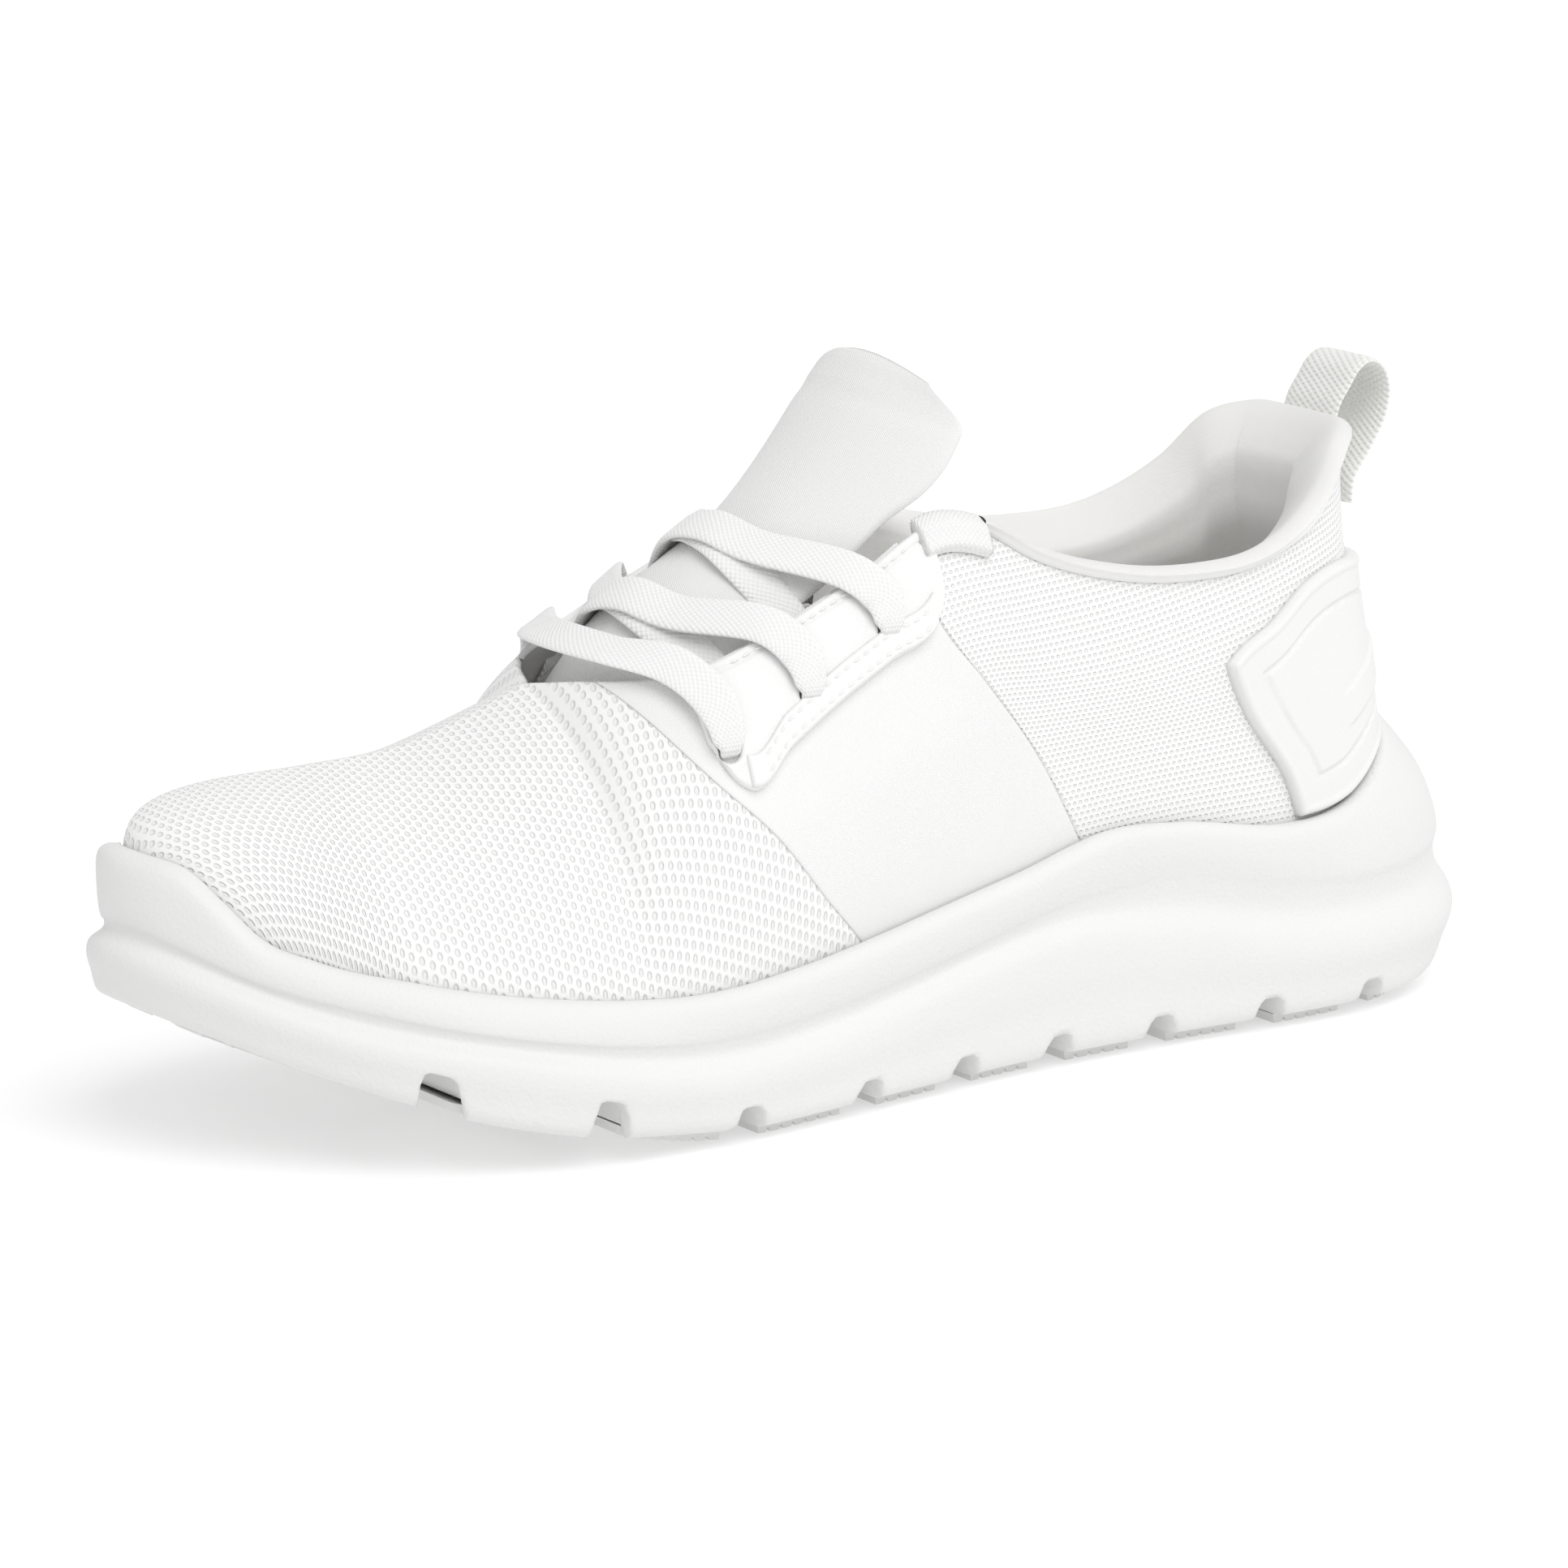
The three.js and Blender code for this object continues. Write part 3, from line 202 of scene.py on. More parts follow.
crease_inset = line([(0, 4), (20, 3), (45, 2.4), (120, 2.2), (220, 2.2), (285, 2.6), (300, 2.8)])
bottom_inset = line([(0, 9), (25, 6), (60, 4.2), (120, 3.6), (200, 3.2), (260, 3.2), (300, 4)])
brim_station = line([
    (0, 27.5), (14, 30.6), (27, 37.8), (40, 46), (60, 62), (80, 80), (100, 99), (120, 118),
    (140, 138), (160, 158), (180, 179), (190, 189), (197, 196.5), (203, 202.5), (208, 207),
    (212, 210), (216, 212), (240, 232), (270, 250), (300, 265),
])
brim_breadth_line = line([
    (0, 32), (14, 34.5), (27, 37.6), (40, 37.5), (60, 36.9), (80, 35), (100, 33.4), (120, 31.1),
    (140, 28.6), (160, 29.1), (180, 29.6), (190, 28.5), (197, 26.3), (203, 21.9), (208, 15.7),
    (212, 8.8), (216, 0), (300, 0),
])
brim_height = line([
    (0, 113), (14, 113), (27, 110), (40, 101.5), (60, 93.5), (80, 92.2), (100, 94.5),
    (120, 100.5), (132, 107), (140, 108.5), (160, 99.5), (180, 90.5), (196, 84.5), (204, 83),
    (210, 82), (216, 80), (240, 71.3), (270, 68.2), (300, 67),
])
ridge_drift = line([(0, 0), (160, 0), (216, -2), (240, -6), (270, -10), (300, -14)])
brim_lean = line([
    (0, 96), (40, 92), (80, 84), (120, 76), (140, 62), (160, 46), (180, 42), (196, 40),
    (204, 32), (210, 20), (216, 14), (250, 10), (280, 5), (300, 2),
])
brim_reach = line([
    (0, 26), (60, 20), (120, 24), (150, 22), (196, 20), (216, 22), (250, 22), (285, 26),
    (300, 28),
])
foot_reach = line([(0, 30), (60, 24), (120, 26), (200, 24), (250, 23), (285, 20), (300, 19)])
foot_bulge = line([(0, 0), (60, 2), (120, 1), (200, 2), (250, 2), (300, 1)])


# ---------------------------------------- reference surface


def station_at(turn):
    """Station of a turn round the shoe: 0 at the heel, 1 at the toe, 2 at the heel again."""
    return LENGTH * (1 - np.cos(np.pi * np.mod(turn, 2))) / 2


def side_at(turn):
    """1 on the lateral side, -1 on the medial side."""
    return np.where(np.mod(turn, 2) <= 1, 1.0, -1.0)


def turn_at(station, side):
    """Turn at a station of one side."""
    t = np.arccos(np.clip(1 - 2 * np.asarray(station, float) / LENGTH, -1, 1)) / np.pi
    return t if side > 0 else 2 - t


def outline(turn):
    """Widest outline of the sole, seen from above."""
    s = station_at(turn)
    breadth = np.where(side_at(turn) > 0, breadth_lateral(s), breadth_medial(s))
    return np.stack([s, centre_line(s) + np.sin(np.pi * np.mod(turn, 2)) * breadth, 0 * s], -1)


def unit(v):
    return v / np.maximum(np.linalg.norm(v, axis=-1, keepdims=True), 1e-9)


STEP = 1e-3


def outward(turn):
    """Level direction away from the shoe, square to the outline."""
    along = unit(outline(turn + STEP) - outline(turn - STEP))
    return np.stack([-along[..., 1], along[..., 0], 0 * along[..., 0]], -1)


def side_point(turn, inset, height):
    """A point inside the outline by an inset, at a height."""
    p = outline(turn) - outward(turn) * np.asarray(inset)[..., None]
    p[..., 2] = height
    return p


def brim_breadth(s):
    """Half breadth of the upper's top edge: collar, then throat, then nothing on the ridge."""
    ends = 2 * np.sqrt(np.clip((s / LENGTH) * (1 - s / LENGTH), 0, None))
    return np.where(s >= THROAT_FRONT, 0, ends * brim_breadth_line(s))


ridge_slope = line([
    (0, -0.5), (190, -0.5), (212, -0.56), (225, -0.45), (240, -0.3), (265, -0.14), (300, -0.08),
])


def upper(turn, height):
    """A point of the reference surface, from 0 at the footbed to 1 at the top edge."""
    turn, height = np.broadcast_arrays(np.asarray(turn, float), np.asarray(height, float))
    s = station_at(turn)
    n = outward(turn)
    a = side_point(turn, feather_inset(s), footbed(s) + GAP)
    share = np.where(side_at(turn) > 0, 1, mix(1, MEDIAL_THROAT, smooth(115, 150, s)))
    breadth = ridge_drift(s) + side_at(turn) * share * brim_breadth(s)
    d = np.stack([brim_station(s), breadth, brim_height(s)], -1)
    b = a + n * foot_bulge(s)[..., None]
    b[..., 2] += foot_reach(s)
    lean = np.radians(brim_lean(s))
    slope = ridge_slope(s)
    reach = brim_reach(s)
    flat = reach * np.cos(lean)
    c = d + n * flat[..., None]
    c[..., 2] = d[..., 2] - reach * np.sin(lean) + smooth(200, 222, s) * n[..., 0] * flat * slope
    t = height[..., None]
    return a * (1 - t) ** 3 + 3 * b * t * (1 - t) ** 2 + 3 * c * t**2 * (1 - t) + d * t**3


def normal(turn, height):
    """Direction out of the reference surface."""
    h = np.minimum(height, 0.995)
    across = upper(turn + STEP, h) - upper(turn - STEP, h)
    up = upper(turn, h + STEP) - upper(turn, h - STEP)
    return unit(np.cross(up, across))


def at(turn, height, depth):
    """A point over the reference surface, or under it at a negative depth."""
    turn, height, depth = np.broadcast_arrays(*(np.asarray(x, float) for x in (turn, height, depth)))
    n = normal(turn, height)
    ridge = (height > 0.97) & (brim_breadth(station_at(turn)) == 0)
    both = unit(n + normal(2 - turn, height))
    w = np.where(ridge, smooth(0.97, 1, height), 0)[..., None]
    n = unit(n * (1 - w) + both * w)
    return upper(turn, height) + n * depth[..., None]


def height_at(turn, z):
    """Height over the reference surface, 0 to 1, at which it reaches a level z."""
    turn = np.asarray(turn, float)
    low, high = np.zeros_like(turn), np.ones_like(turn)
    for _ in range(24):
        mid = (low + high) / 2
        below = upper(turn, mid)[..., 2] < z
        low, high = np.where(below, mid, low), np.where(below, high, mid)
    return low


def meet(edge, height, side):
    """Turn at which the surface meets an edge given as a station for each level z."""
    turn = turn_at(edge(60), side) + 0 * height
    for _ in range(10):
        s = mix(station_at(turn), edge(upper(turn, height)[..., 2]), 0.7)
        turn = turn_at(s, side)
    return turn


# ---------------------------------------- meshes


def make_mesh(name, verts, faces, uvs=None, material=None):
    """A smooth-shaded mesh object from points in shoe millimetres."""
    mesh = bpy.data.meshes.new(name)
    mesh.from_pydata([tuple(v) for v in place(verts)], [], [tuple(int(i) for i in f) for f in faces])
    if uvs is not None:
        layer = mesh.uv_layers.new(name="cloth")
        index = np.empty(len(mesh.loops), dtype=np.int32)
        mesh.loops.foreach_get("vertex_index", index)
        layer.data.foreach_set("uv", np.ascontiguousarray(uvs[index], dtype=np.float32).ravel())
    mesh.polygons.foreach_set("use_smooth", [True] * len(mesh.polygons))
    mesh.update()
    obj = bpy.data.objects.new(name, mesh)
    bpy.context.scene.collection.objects.link(obj)
    if material:
        mesh.materials.append(material)
    return obj


def grid_faces(columns, rows, wrap_columns=False, wrap_rows=False, flip=False):
    across = np.arange(columns if wrap_columns else columns - 1)
    up = np.arange(rows if wrap_rows else rows - 1)
    i, j = np.meshgrid(across, up, indexing="ij")
    i2, j2 = (i + 1) % columns, (j + 1) % rows
    f = np.stack([i * rows + j, i2 * rows + j, i2 * rows + j2, i * rows + j2], -1).reshape(-1, 4)
    return f[:, ::-1] if flip else f


def lengths(points, axis):
    """Running length along one axis of a grid of points."""
    step = np.linalg.norm(np.diff(points, axis=axis), axis=-1)
    start = np.zeros_like(np.take(step, [0], axis=axis))
    return np.concatenate([start, np.cumsum(step, axis=axis)], axis=axis)


def shell(name, points, thickness, material, body="shoe", uvs=None, weld=False):
    """A sheet of cloth or moulding from a grid of points on its outer face, thick inwards."""
    columns, rows = points.shape[:2]
    if uvs is None:
        uvs = np.stack([lengths(points, 0), lengths(points, 1)], -1)
    faces = grid_faces(columns, rows, flip=True)
    obj = make_mesh(name, points.reshape(-1, 3), faces, uvs.reshape(-1, 2) / 1000, material)
    if weld:
        mod = obj.modifiers.new("ridge", "WELD")
        mod.merge_threshold = 1e-5
    if thickness:
        mod = obj.modifiers.new("thickness", "SOLIDIFY")
        mod.thickness = thickness / 1000
        mod.offset = -1
    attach(obj, body)
    return obj


def tabled(function, low, high, count=400):
    """The same function, looked up between even samples."""
    xs = np.linspace(low, high, count)
    ys = function(xs)
    return lambda x: np.interp(x, xs, ys)


def patch(start, end, low, high, columns, rows):
    """Turns and heights of a patch of the reference surface.

    Its borders are start(height), end(height), low(turn) and high(turn).
    """
    i, j = np.meshgrid(np.linspace(0, 1, columns), np.linspace(0, 1, rows), indexing="ij")
    start, end = tabled(start, 0, 1), tabled(end, 0, 1)
    first, last = start(j).min(), end(j).max()
    low, high = tabled(low, first, last), tabled(high, first, last)
    height, turn = j.copy(), i.copy()
    for _ in range(6):
        turn = mix(start(height), end(height), i)
        height = mix(low(turn), high(turn), j)
    return turn, height, i, j


def constant(value):
    """A function that gives the same value everywhere."""
    return lambda x: value + 0 * np.asarray(x, float)


def edge_drop(points, width, closed_sides=(True, True, True, True)):
    """A factor that is 1 inside a patch and falls to 0 in a quarter round at its borders."""
    u, v = lengths(points, 0), lengths(points, 1)
    gaps = []
    if closed_sides[0]:
        gaps.append(u)
    if closed_sides[1]:
        gaps.append(u[-1:, :] - u)
    if closed_sides[2]:
        gaps.append(v)
    if closed_sides[3]:
        gaps.append(v[:, -1:] - v)
    d = np.clip(np.minimum.reduce(gaps) / width, 0, 1)
    return np.sqrt(np.clip(1 - (1 - d) ** 2, 0, 1)), np.minimum.reduce(gaps)


# ---------------------------------------- materials


class Nodes:
    """A little help for building shader node trees."""

    def __init__(self, name):
        self.material = bpy.data.materials.new(name)
        self.material.use_nodes = True
        self.tree = self.material.node_tree
        self.shader = self.tree.nodes["Principled BSDF"]

    def add(self, kind, **settings):
        node = self.tree.nodes.new(kind)
        for key, value in settings.items():
            setattr(node, key, value)
        return node

    def link(self, a, b):
        self.tree.links.new(a, b)

    def math(self, operation, a, b=None, clamp=False):
        node = self.add("ShaderNodeMath", operation=operation, use_clamp=clamp)
        for k, value in enumerate((a, b)):
            if value is None:
                continue
            if isinstance(value, (int, float)):
                node.inputs[k].default_value = value
            else:
                self.link(value, node.inputs[k])
        return node.outputs[0]

    def noise(self, scale, detail=3.0, vector=None):
        node = self.add("ShaderNodeTexNoise")
        node.inputs["Scale"].default_value = scale
        node.inputs["Detail"].default_value = detail
        if vector is None:
            vector = self.add("ShaderNodeTexCoord").outputs["Object"]
        self.link(vector, node.inputs["Vector"])
        return node.outputs["Fac"]

    def uv(self):
        """Lengths along and up the cloth, in millimetres."""
        if not hasattr(self, "_uv"):
            node = self.add("ShaderNodeUVMap", uv_map="cloth")
            split = self.add("ShaderNodeSeparateXYZ")
            self.link(node.outputs[0], split.inputs[0])
            self._uv = [self.math("MULTIPLY", split.outputs[k], 1000.0) for k in (0, 1)]
        return self._uv

    def colour(self, low, high, fac):
        node = self.add("ShaderNodeMix", data_type="RGBA")
        node.inputs["A"].default_value = (*low, 1)
        node.inputs["B"].default_value = (*high, 1)
        self.link(fac, node.inputs["Factor"])
        self.link(node.outputs["Result"], self.shader.inputs["Base Color"])

    def bump(self, height, distance, strength=1.0, below=None):
        node = self.add("ShaderNodeBump")
        node.inputs["Distance"].default_value = distance
        node.inputs["Strength"].default_value = strength
        self.link(height, node.inputs["Height"])
        if below is not None:
            self.link(below, node.inputs["Normal"])
        return node.outputs["Normal"]

    def rough(self, low, high, fac):
        node = self.add("ShaderNodeMapRange")
        node.inputs["To Min"].default_value = low
        node.inputs["To Max"].default_value = high
        self.link(fac, node.inputs["Value"])
        self.link(node.outputs[0], self.shader.inputs["Roughness"])

    def done(self, normal_socket, sheen=0.0):
        self.link(normal_socket, self.shader.inputs["Normal"])
        self.shader.inputs["Sheen Weight"].default_value = sheen
        return self.material


WHITE = (0.86, 0.86, 0.855)
SHADE = (0.74, 0.74, 0.735)


def mesh_cloth(name, pitch, row, slot_along, slot_up, slot_shade_colour, relief):
    """Knitted mesh: staggered rows of small slots, with the yarn bulging between them; the slots are
    coloured darker as painted shade in the holes.
    """
    n = Nodes(name)
    u, v = n.uv()
    rows = n.math("DIVIDE", v, row)
    stagger = n.math("MULTIPLY", n.math("MODULO", n.math("FLOOR", rows), 2.0), 0.5)
    along = n.math("ADD", n.math("DIVIDE", u, pitch), stagger)
    x = n.math("DIVIDE", n.math("SUBTRACT", n.math("FRACT", along), 0.5), slot_along)
    y = n.math("DIVIDE", n.math("SUBTRACT", n.math("FRACT", rows), 0.5), slot_up)
    reach = n.math("SQRT", n.math("ADD", n.math("MULTIPLY", x, x), n.math("MULTIPLY", y, y)))
    solid = n.add("ShaderNodeMapRange", interpolation_type="SMOOTHSTEP")
    solid.inputs["From Min"].default_value = 0.55
    solid.inputs["From Max"].default_value = 1.35
    n.link(reach, solid.inputs["Value"])
    fibre = n.noise(2600.0, 2.0)
    patchy = n.noise(45.0, 2.0)
    slot_shade_and_patches = n.math("SUBTRACT", solid.outputs[0], n.math("MULTIPLY", patchy, 0.06))
    # Painted shade: the slots take the darker colour, standing in for the shade inside the holes; the
    # patchy noise is random tone.
    n.colour(slot_shade_colour, WHITE, slot_shade_and_patches)
    n.rough(0.75, 0.95, fibre)
    fine = n.bump(fibre, 0.00008, 0.4)
    return n.done(n.bump(solid.outputs[0], relief, 0.9, fine), 0.15)


def smooth_cloth(name, colour, rib=0.55, relief=0.00006, sheen=0.2, shade=SHADE):
    """Stretch cloth with very fine diagonal twill lines."""
    n = Nodes(name)
    u, v = n.uv()
    slant = n.math("ADD", u, n.math("MULTIPLY", v, 1.6))
    lines = n.math("SINE", n.math("MULTIPLY", slant, 2 * math.pi / rib))
    fibre = n.noise(1800.0, 3.0)
    cloud = n.noise(35.0, 3.0)
    n.colour(shade, colour, n.math("ADD", n.math("MULTIPLY", cloud, 0.35), 0.72, clamp=True))
    n.rough(0.7, 0.92, fibre)
    fine = n.bump(fibre, 0.00006, 0.4)
    return n.done(n.bump(lines, relief, 0.5, fine), sheen)


def speckled(name, colour, shade, grain, relief, rough, sheen=0.0, soft=60.0):
    """Moulded or coated surface with an even fine grain."""
    n = Nodes(name)
    cells = n.add("ShaderNodeTexVoronoi", feature="SMOOTH_F1")
    cells.inputs["Scale"].default_value = grain
    n.link(n.add("ShaderNodeTexCoord").outputs["Object"], cells.inputs["Vector"])
    cloud = n.noise(soft, 4.0)
    n.colour(shade, colour, n.math("ADD", n.math("MULTIPLY", cloud, 0.5), 0.6, clamp=True))
    n.rough(rough - 0.1, rough + 0.1, cloud)
    slow = n.bump(cloud, 0.0004, 0.15)
    return n.done(n.bump(cells.outputs["Distance"], relief, 0.8, slow), sheen)


def woven(name, colour, shade, pitch_along, pitch_across, relief):
    """Plain weave: two crossing sets of threads, with painted shade in the hollows between them."""
    n = Nodes(name)
    u, v = n.uv()
    a = n.math("SINE", n.math("MULTIPLY", u, 2 * math.pi / pitch_along))
    b = n.math("SINE", n.math("MULTIPLY", v, 2 * math.pi / pitch_across))
    cross = n.math("MULTIPLY", a, b)
    lift = n.math("ADD", n.math("MULTIPLY", cross, 0.5), 0.5)
    fibre = n.noise(2400.0, 2.0)
    # Painted shade: the colour darkens at the weave's low points, as shade in the hollows between the
    # threads.
    n.colour(shade, colour, n.math("ADD", n.math("MULTIPLY", lift, 0.6), 0.4, clamp=True))
    n.rough(0.75, 0.95, fibre)
    fine = n.bump(fibre, 0.00008, 0.5)
    return n.done(n.bump(lift, relief, 0.8, fine), 0.2)


# The darker slot colours given to the two mesh cloths are painted shade in their holes.
M_VAMP = mesh_cloth("vamp_mesh_cloth", 2.1, 1.6, 0.33, 0.26, (0.79, 0.79, 0.785), 0.0003)
M_QUARTER = mesh_cloth("quarter_knit", 1.45, 1.3, 0.26, 0.24, (0.82, 0.82, 0.815), 0.00026)
M_SADDLE = smooth_cloth("saddle_stretch", WHITE)
M_TONGUE = smooth_cloth("tongue_neoprene", (0.83, 0.83, 0.825), 0.7, 0.00008, 0.3)
# Painted shade: the lining's darker beige stands in for the shade inside the shoe.
M_LINING_PAINTED_SHADE = smooth_cloth("lining_cloth_painted_shade", (0.8, 0.785, 0.76), 0.5, 0.00005, 0.3, (0.7, 0.68, 0.65))
M_COLLAR = smooth_cloth("collar_cloth", (0.87, 0.865, 0.85), 0.5, 0.00005, 0.3, (0.80, 0.79, 0.77))
M_FOAM = speckled("midsole_foam", (0.77, 0.77, 0.765), (0.735, 0.735, 0.73), 1400.0, 0.00012, 0.65)
M_RUBBER = speckled("tread_rubber", (0.8, 0.8, 0.79), (0.68, 0.68, 0.67), 900.0, 0.0002, 0.75)
M_LEATHER = speckled("eyestay_synthetic", (0.84, 0.84, 0.835), (0.8, 0.8, 0.795), 1700.0, 0.0001, 0.55)
M_COUNTER = speckled("counter_moulded", (0.8, 0.8, 0.795), (0.77, 0.77, 0.765), 2600.0, 0.00004, 0.5)
M_BOARD = speckled("board_nonwoven", (0.74, 0.7, 0.6), (0.66, 0.62, 0.52), 700.0, 0.0002, 0.9)
M_PADDING = speckled("open_foam", (0.8, 0.77, 0.68), (0.7, 0.67, 0.58), 500.0, 0.0004, 0.95)
# The lace, band and tab weaves carry painted shade in their hollows.
M_LACE = woven("lace_weave", (0.88, 0.88, 0.875), (0.78, 0.78, 0.775), 1.3, 1.1, 0.00025)
M_BAND = woven("band_elastic", (0.88, 0.88, 0.875), (0.8, 0.8, 0.795), 1.1, 1.4, 0.0003)
M_TAB = woven("tab_webbing", (0.875, 0.875, 0.85), (0.81, 0.81, 0.78), 1.25, 1.25, 0.0004)
M_THREAD = speckled("thread", (0.88, 0.88, 0.87), (0.76, 0.76, 0.75), 2500.0, 0.0001, 0.7)

SLOT_MATERIALS = {
    "foam": M_FOAM, "rubber": M_RUBBER, "mesh": M_QUARTER, "stretch": M_SADDLE, "leather": M_LEATHER,
    "moulded": M_COUNTER, "lining": M_LINING_PAINTED_SHADE, "padding": M_PADDING, "board": M_BOARD,
    "webbing": M_TAB, "lace": M_LACE,
}
node_slots = {s["node"]: s["material_slot"] for s in frame["record"]["subparts"]}
for node, obj in frame["nodes"].items():
    for k in range(max(1, len(obj.material_slots))):
        if obj.material_slots:
            obj.material_slots[k].material = SLOT_MATERIALS[node_slots[node]]

# ---------------------------------------- midsole


def notch(s):
    """Height that the flex grooves cut up into the foam at a station."""
    rise = 0 * s
    for centre in GROOVES:
        x = np.clip(np.abs(s - centre) / (GROOVE_WIDTH / 2), 0, 1)
        rise = np.maximum(rise, GROOVE_HEIGHT * (1 - x**6))
    return rise


def spline_rows(points, per_span, sharp=()):
    """Catmull-Rom through the rows of a grid of points, with the named rows left as corners."""
    out = []
    count = points.shape[1]
    for k in range(count - 1):
        p1, p2 = points[:, k], points[:, k + 1]
        p0 = points[:, k - 1] if k > 0 and k not in sharp else 2 * p1 - p2
        p3 = points[:, k + 2] if k + 2 < count and k + 1 not in sharp else 2 * p2 - p1
        d01 = np.sqrt(np.linalg.norm(p1 - p0, axis=-1, keepdims=True)) + 1e-6
        d12 = np.sqrt(np.linalg.norm(p2 - p1, axis=-1, keepdims=True)) + 1e-6
        d23 = np.sqrt(np.linalg.norm(p3 - p2, axis=-1, keepdims=True)) + 1e-6
        m1 = d12 * ((p1 - p0) / d01 - (p2 - p0) / (d01 + d12) + (p2 - p1) / d12)
        m2 = d12 * ((p2 - p1) / d12 - (p3 - p1) / (d12 + d23) + (p3 - p2) / d23)
        for q in range(per_span):
            t = q / per_span
            out.append(
                p1 * (2 * t**3 - 3 * t**2 + 1) + m1 * (t**3 - 2 * t**2 + t)
                + p2 * (3 * t**2 - 2 * t**3) + m2 * (t**3 - t**2)
            )
    out.append(points[:, -1])
    return np.stack(out, 1)


def build_midsole():
    columns = 900
    # Even spacing in turn round the outline, so the columns lie closest together at the heel and the toe.
    turn = np.linspace(0, 2, columns, endpoint=False)
    s = station_at(turn)
    toe = smooth(205, 235, s)
    base = ground(s) + TOE_LIFT * toe + PAD + GAP
    edge = ground(s) + mix(PAD + GAP, SKIRT_RISE, toe)
    low, high, lip = lower_edge(s), crease(s), rim(s)
    lip_height = height_at(turn, lip)
    lip_inner = at(turn, lip_height, CUP_GAP)
    out = outward(turn)
    lip_outer = lip_inner + out * RIM
    lip_outer[:, 2] = lip - 1.4
    lip_top = lip_inner + out * RIM * 0.62
    lip_top[:, 2] = lip
    crease_point = side_point(turn, crease_inset(s), high)
    heel = 1 - smooth(12, 50, s)
    wall = mix(lip_outer, crease_point, 0.5) + out * (0.5 + 2.0 * heel)[:, None]
    inset = bottom_inset(s)
    rows = [
        side_point(turn, inset + PAD_INSET - 0.9, base),
        side_point(turn, inset + 0.9, edge),
        side_point(turn, inset * 0.5, edge + 1.4),
        side_point(turn, inset * 0.2, mix(edge, low, 0.42)),
        side_point(turn, 0 * s, mix(edge, low, 0.72)),
        side_point(turn, 0.6 + 0 * s, low - 1.0),
        side_point(turn, mix(0.8, crease_inset(s), 0.5) + 1.5, mix(low, high, 0.35)),
        side_point(turn, crease_inset(s) + 0.6, mix(low, high, 0.75)),
        crease_point,
        wall,
        lip_outer,
        lip_top,
        lip_inner,
        at(turn, lip_height * 0.66, CUP_GAP),
        at(turn, lip_height * 0.33, CUP_GAP),
        at(turn, 0 * s, CUP_GAP),
    ]
    rings = spline_rows(np.stack(rows, 1), 5, sharp=(1, 12))
    rise = notch(s)
    roof = np.where(rise > 0.01, base + rise, -10.0)[:, None]
    floor_rows = rings.shape[1] // 2
    lifted = np.maximum(rings[:, :floor_rows, 2], roof)
    rings[:, :floor_rows, 2] = lifted
    count = rings.shape[1]
    verts = rings.reshape(-1, 3)
    faces = [tuple(f) for f in grid_faces(columns, count, wrap_columns=True, flip=True)]
    half = columns // 2
    for i in range(half):
        a, b = i * count, (i + 1) * count
        c, d = ((columns - i - 1) % columns) * count, ((columns - i) % columns) * count
        faces.append((a, b, c, d) if i not in (0, half - 1) else (a, b, c, d) if a != d else (a, b, c))
        top = count - 1
        faces.append((a + top, d + top, c + top, b + top) if a != d else (a + top, c + top, b + top))
    faces = [tuple(dict.fromkeys(f)) for f in faces]
    faces = [f for f in faces if len(f) > 2]
    obj = make_mesh("midsole_fine", verts, faces, None, M_FOAM)
    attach(obj, "shoe")
    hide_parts("midsole")
    return obj


build_midsole()

# ---------------------------------------- cloth panels

saddle_front = line([(20, 160), (31, 164), (43, 175), (54.5, 185), (66, 196), (82, 207)])
saddle_rear = line([(20, 98), (42, 109), (63, 122), (78, 134.6), (88.6, 144), (105, 150)])
HALF_SEAM = 0.02
SIDES = (("lateral", 1), ("medial", -1))


def shifted(edge, by):
    return lambda z: edge(z) + by


def tucked(points, turn, height, width=1.2, depth=0.35, sides=(True, True, False, False)):
    """Presses the borders of a panel down a little, as a seam pulls them."""
    drop, _ = edge_drop(points, width, sides)
    return at(turn, height, depth * (drop - 1))


def ridge_line():
    """Stations, breadths and heights down the middle of the vamp, from the throat to the toe."""
    stops = np.linspace(216, 299.9, 120)
    back = np.stack([brim_station(stops), ridge_drift(stops), brim_height(stops)], -1)
    front = upper(1.0, np.linspace(0.98, 0, 60))
    rear = back[0] + np.array([[-60.0, 0.0, 30.0], [-1.0, 0.0, 0.5]])
    return np.concatenate([rear, back, front[front[:, 0] > back[-1, 0]]])


CLOTH_EASE = 14


def vamp_cloth(points, turn, height):
    """The mesh lies over the foot as a flat cloth would: rows across the foot, columns along it."""
    ridge = ridge_line()
    order = np.argsort(ridge[:, 0])
    s, y, z = points[..., 0], points[..., 1], points[..., 2]
    off = y - np.interp(s, ridge[order, 0], ridge[order, 1])
    first = ridge[order[0], 0]
    slope = (ridge[order[0], 2] - np.interp(first + 4, ridge[order, 0], ridge[order, 2])) / 4
    behind = np.maximum(0, first - s)
    rise = slope * CLOTH_EASE * (1 - np.exp(-behind / CLOTH_EASE))
    drop = np.maximum(0, np.interp(s, ridge[order, 0], ridge[order, 2]) + rise - z)
    facing = smooth(262, 292, station_at(turn)) + 0 * height
    around = np.sign(off) * np.sqrt(off**2 + drop**2 * (1 - facing))
    along = s + drop * facing
    return np.stack([around, along], -1)


def build_vamp():
    start = lambda h: meet(shifted(saddle_front, HALF_SEAM), h, 1)
    turn, height, _, _ = patch(start, lambda h: 2 - start(h), constant(FOOT_EDGE), constant(1.0), 361, 90)
    points = at(turn, height, 0)
    points = tucked(points, turn, height, 1.2, 0.18)
    uvs = vamp_cloth(points, turn, height)
    obj = shell("vamp_mesh_fine", points, FABRIC, M_VAMP, uvs=uvs, weld=True)
    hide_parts("vamp_mesh")


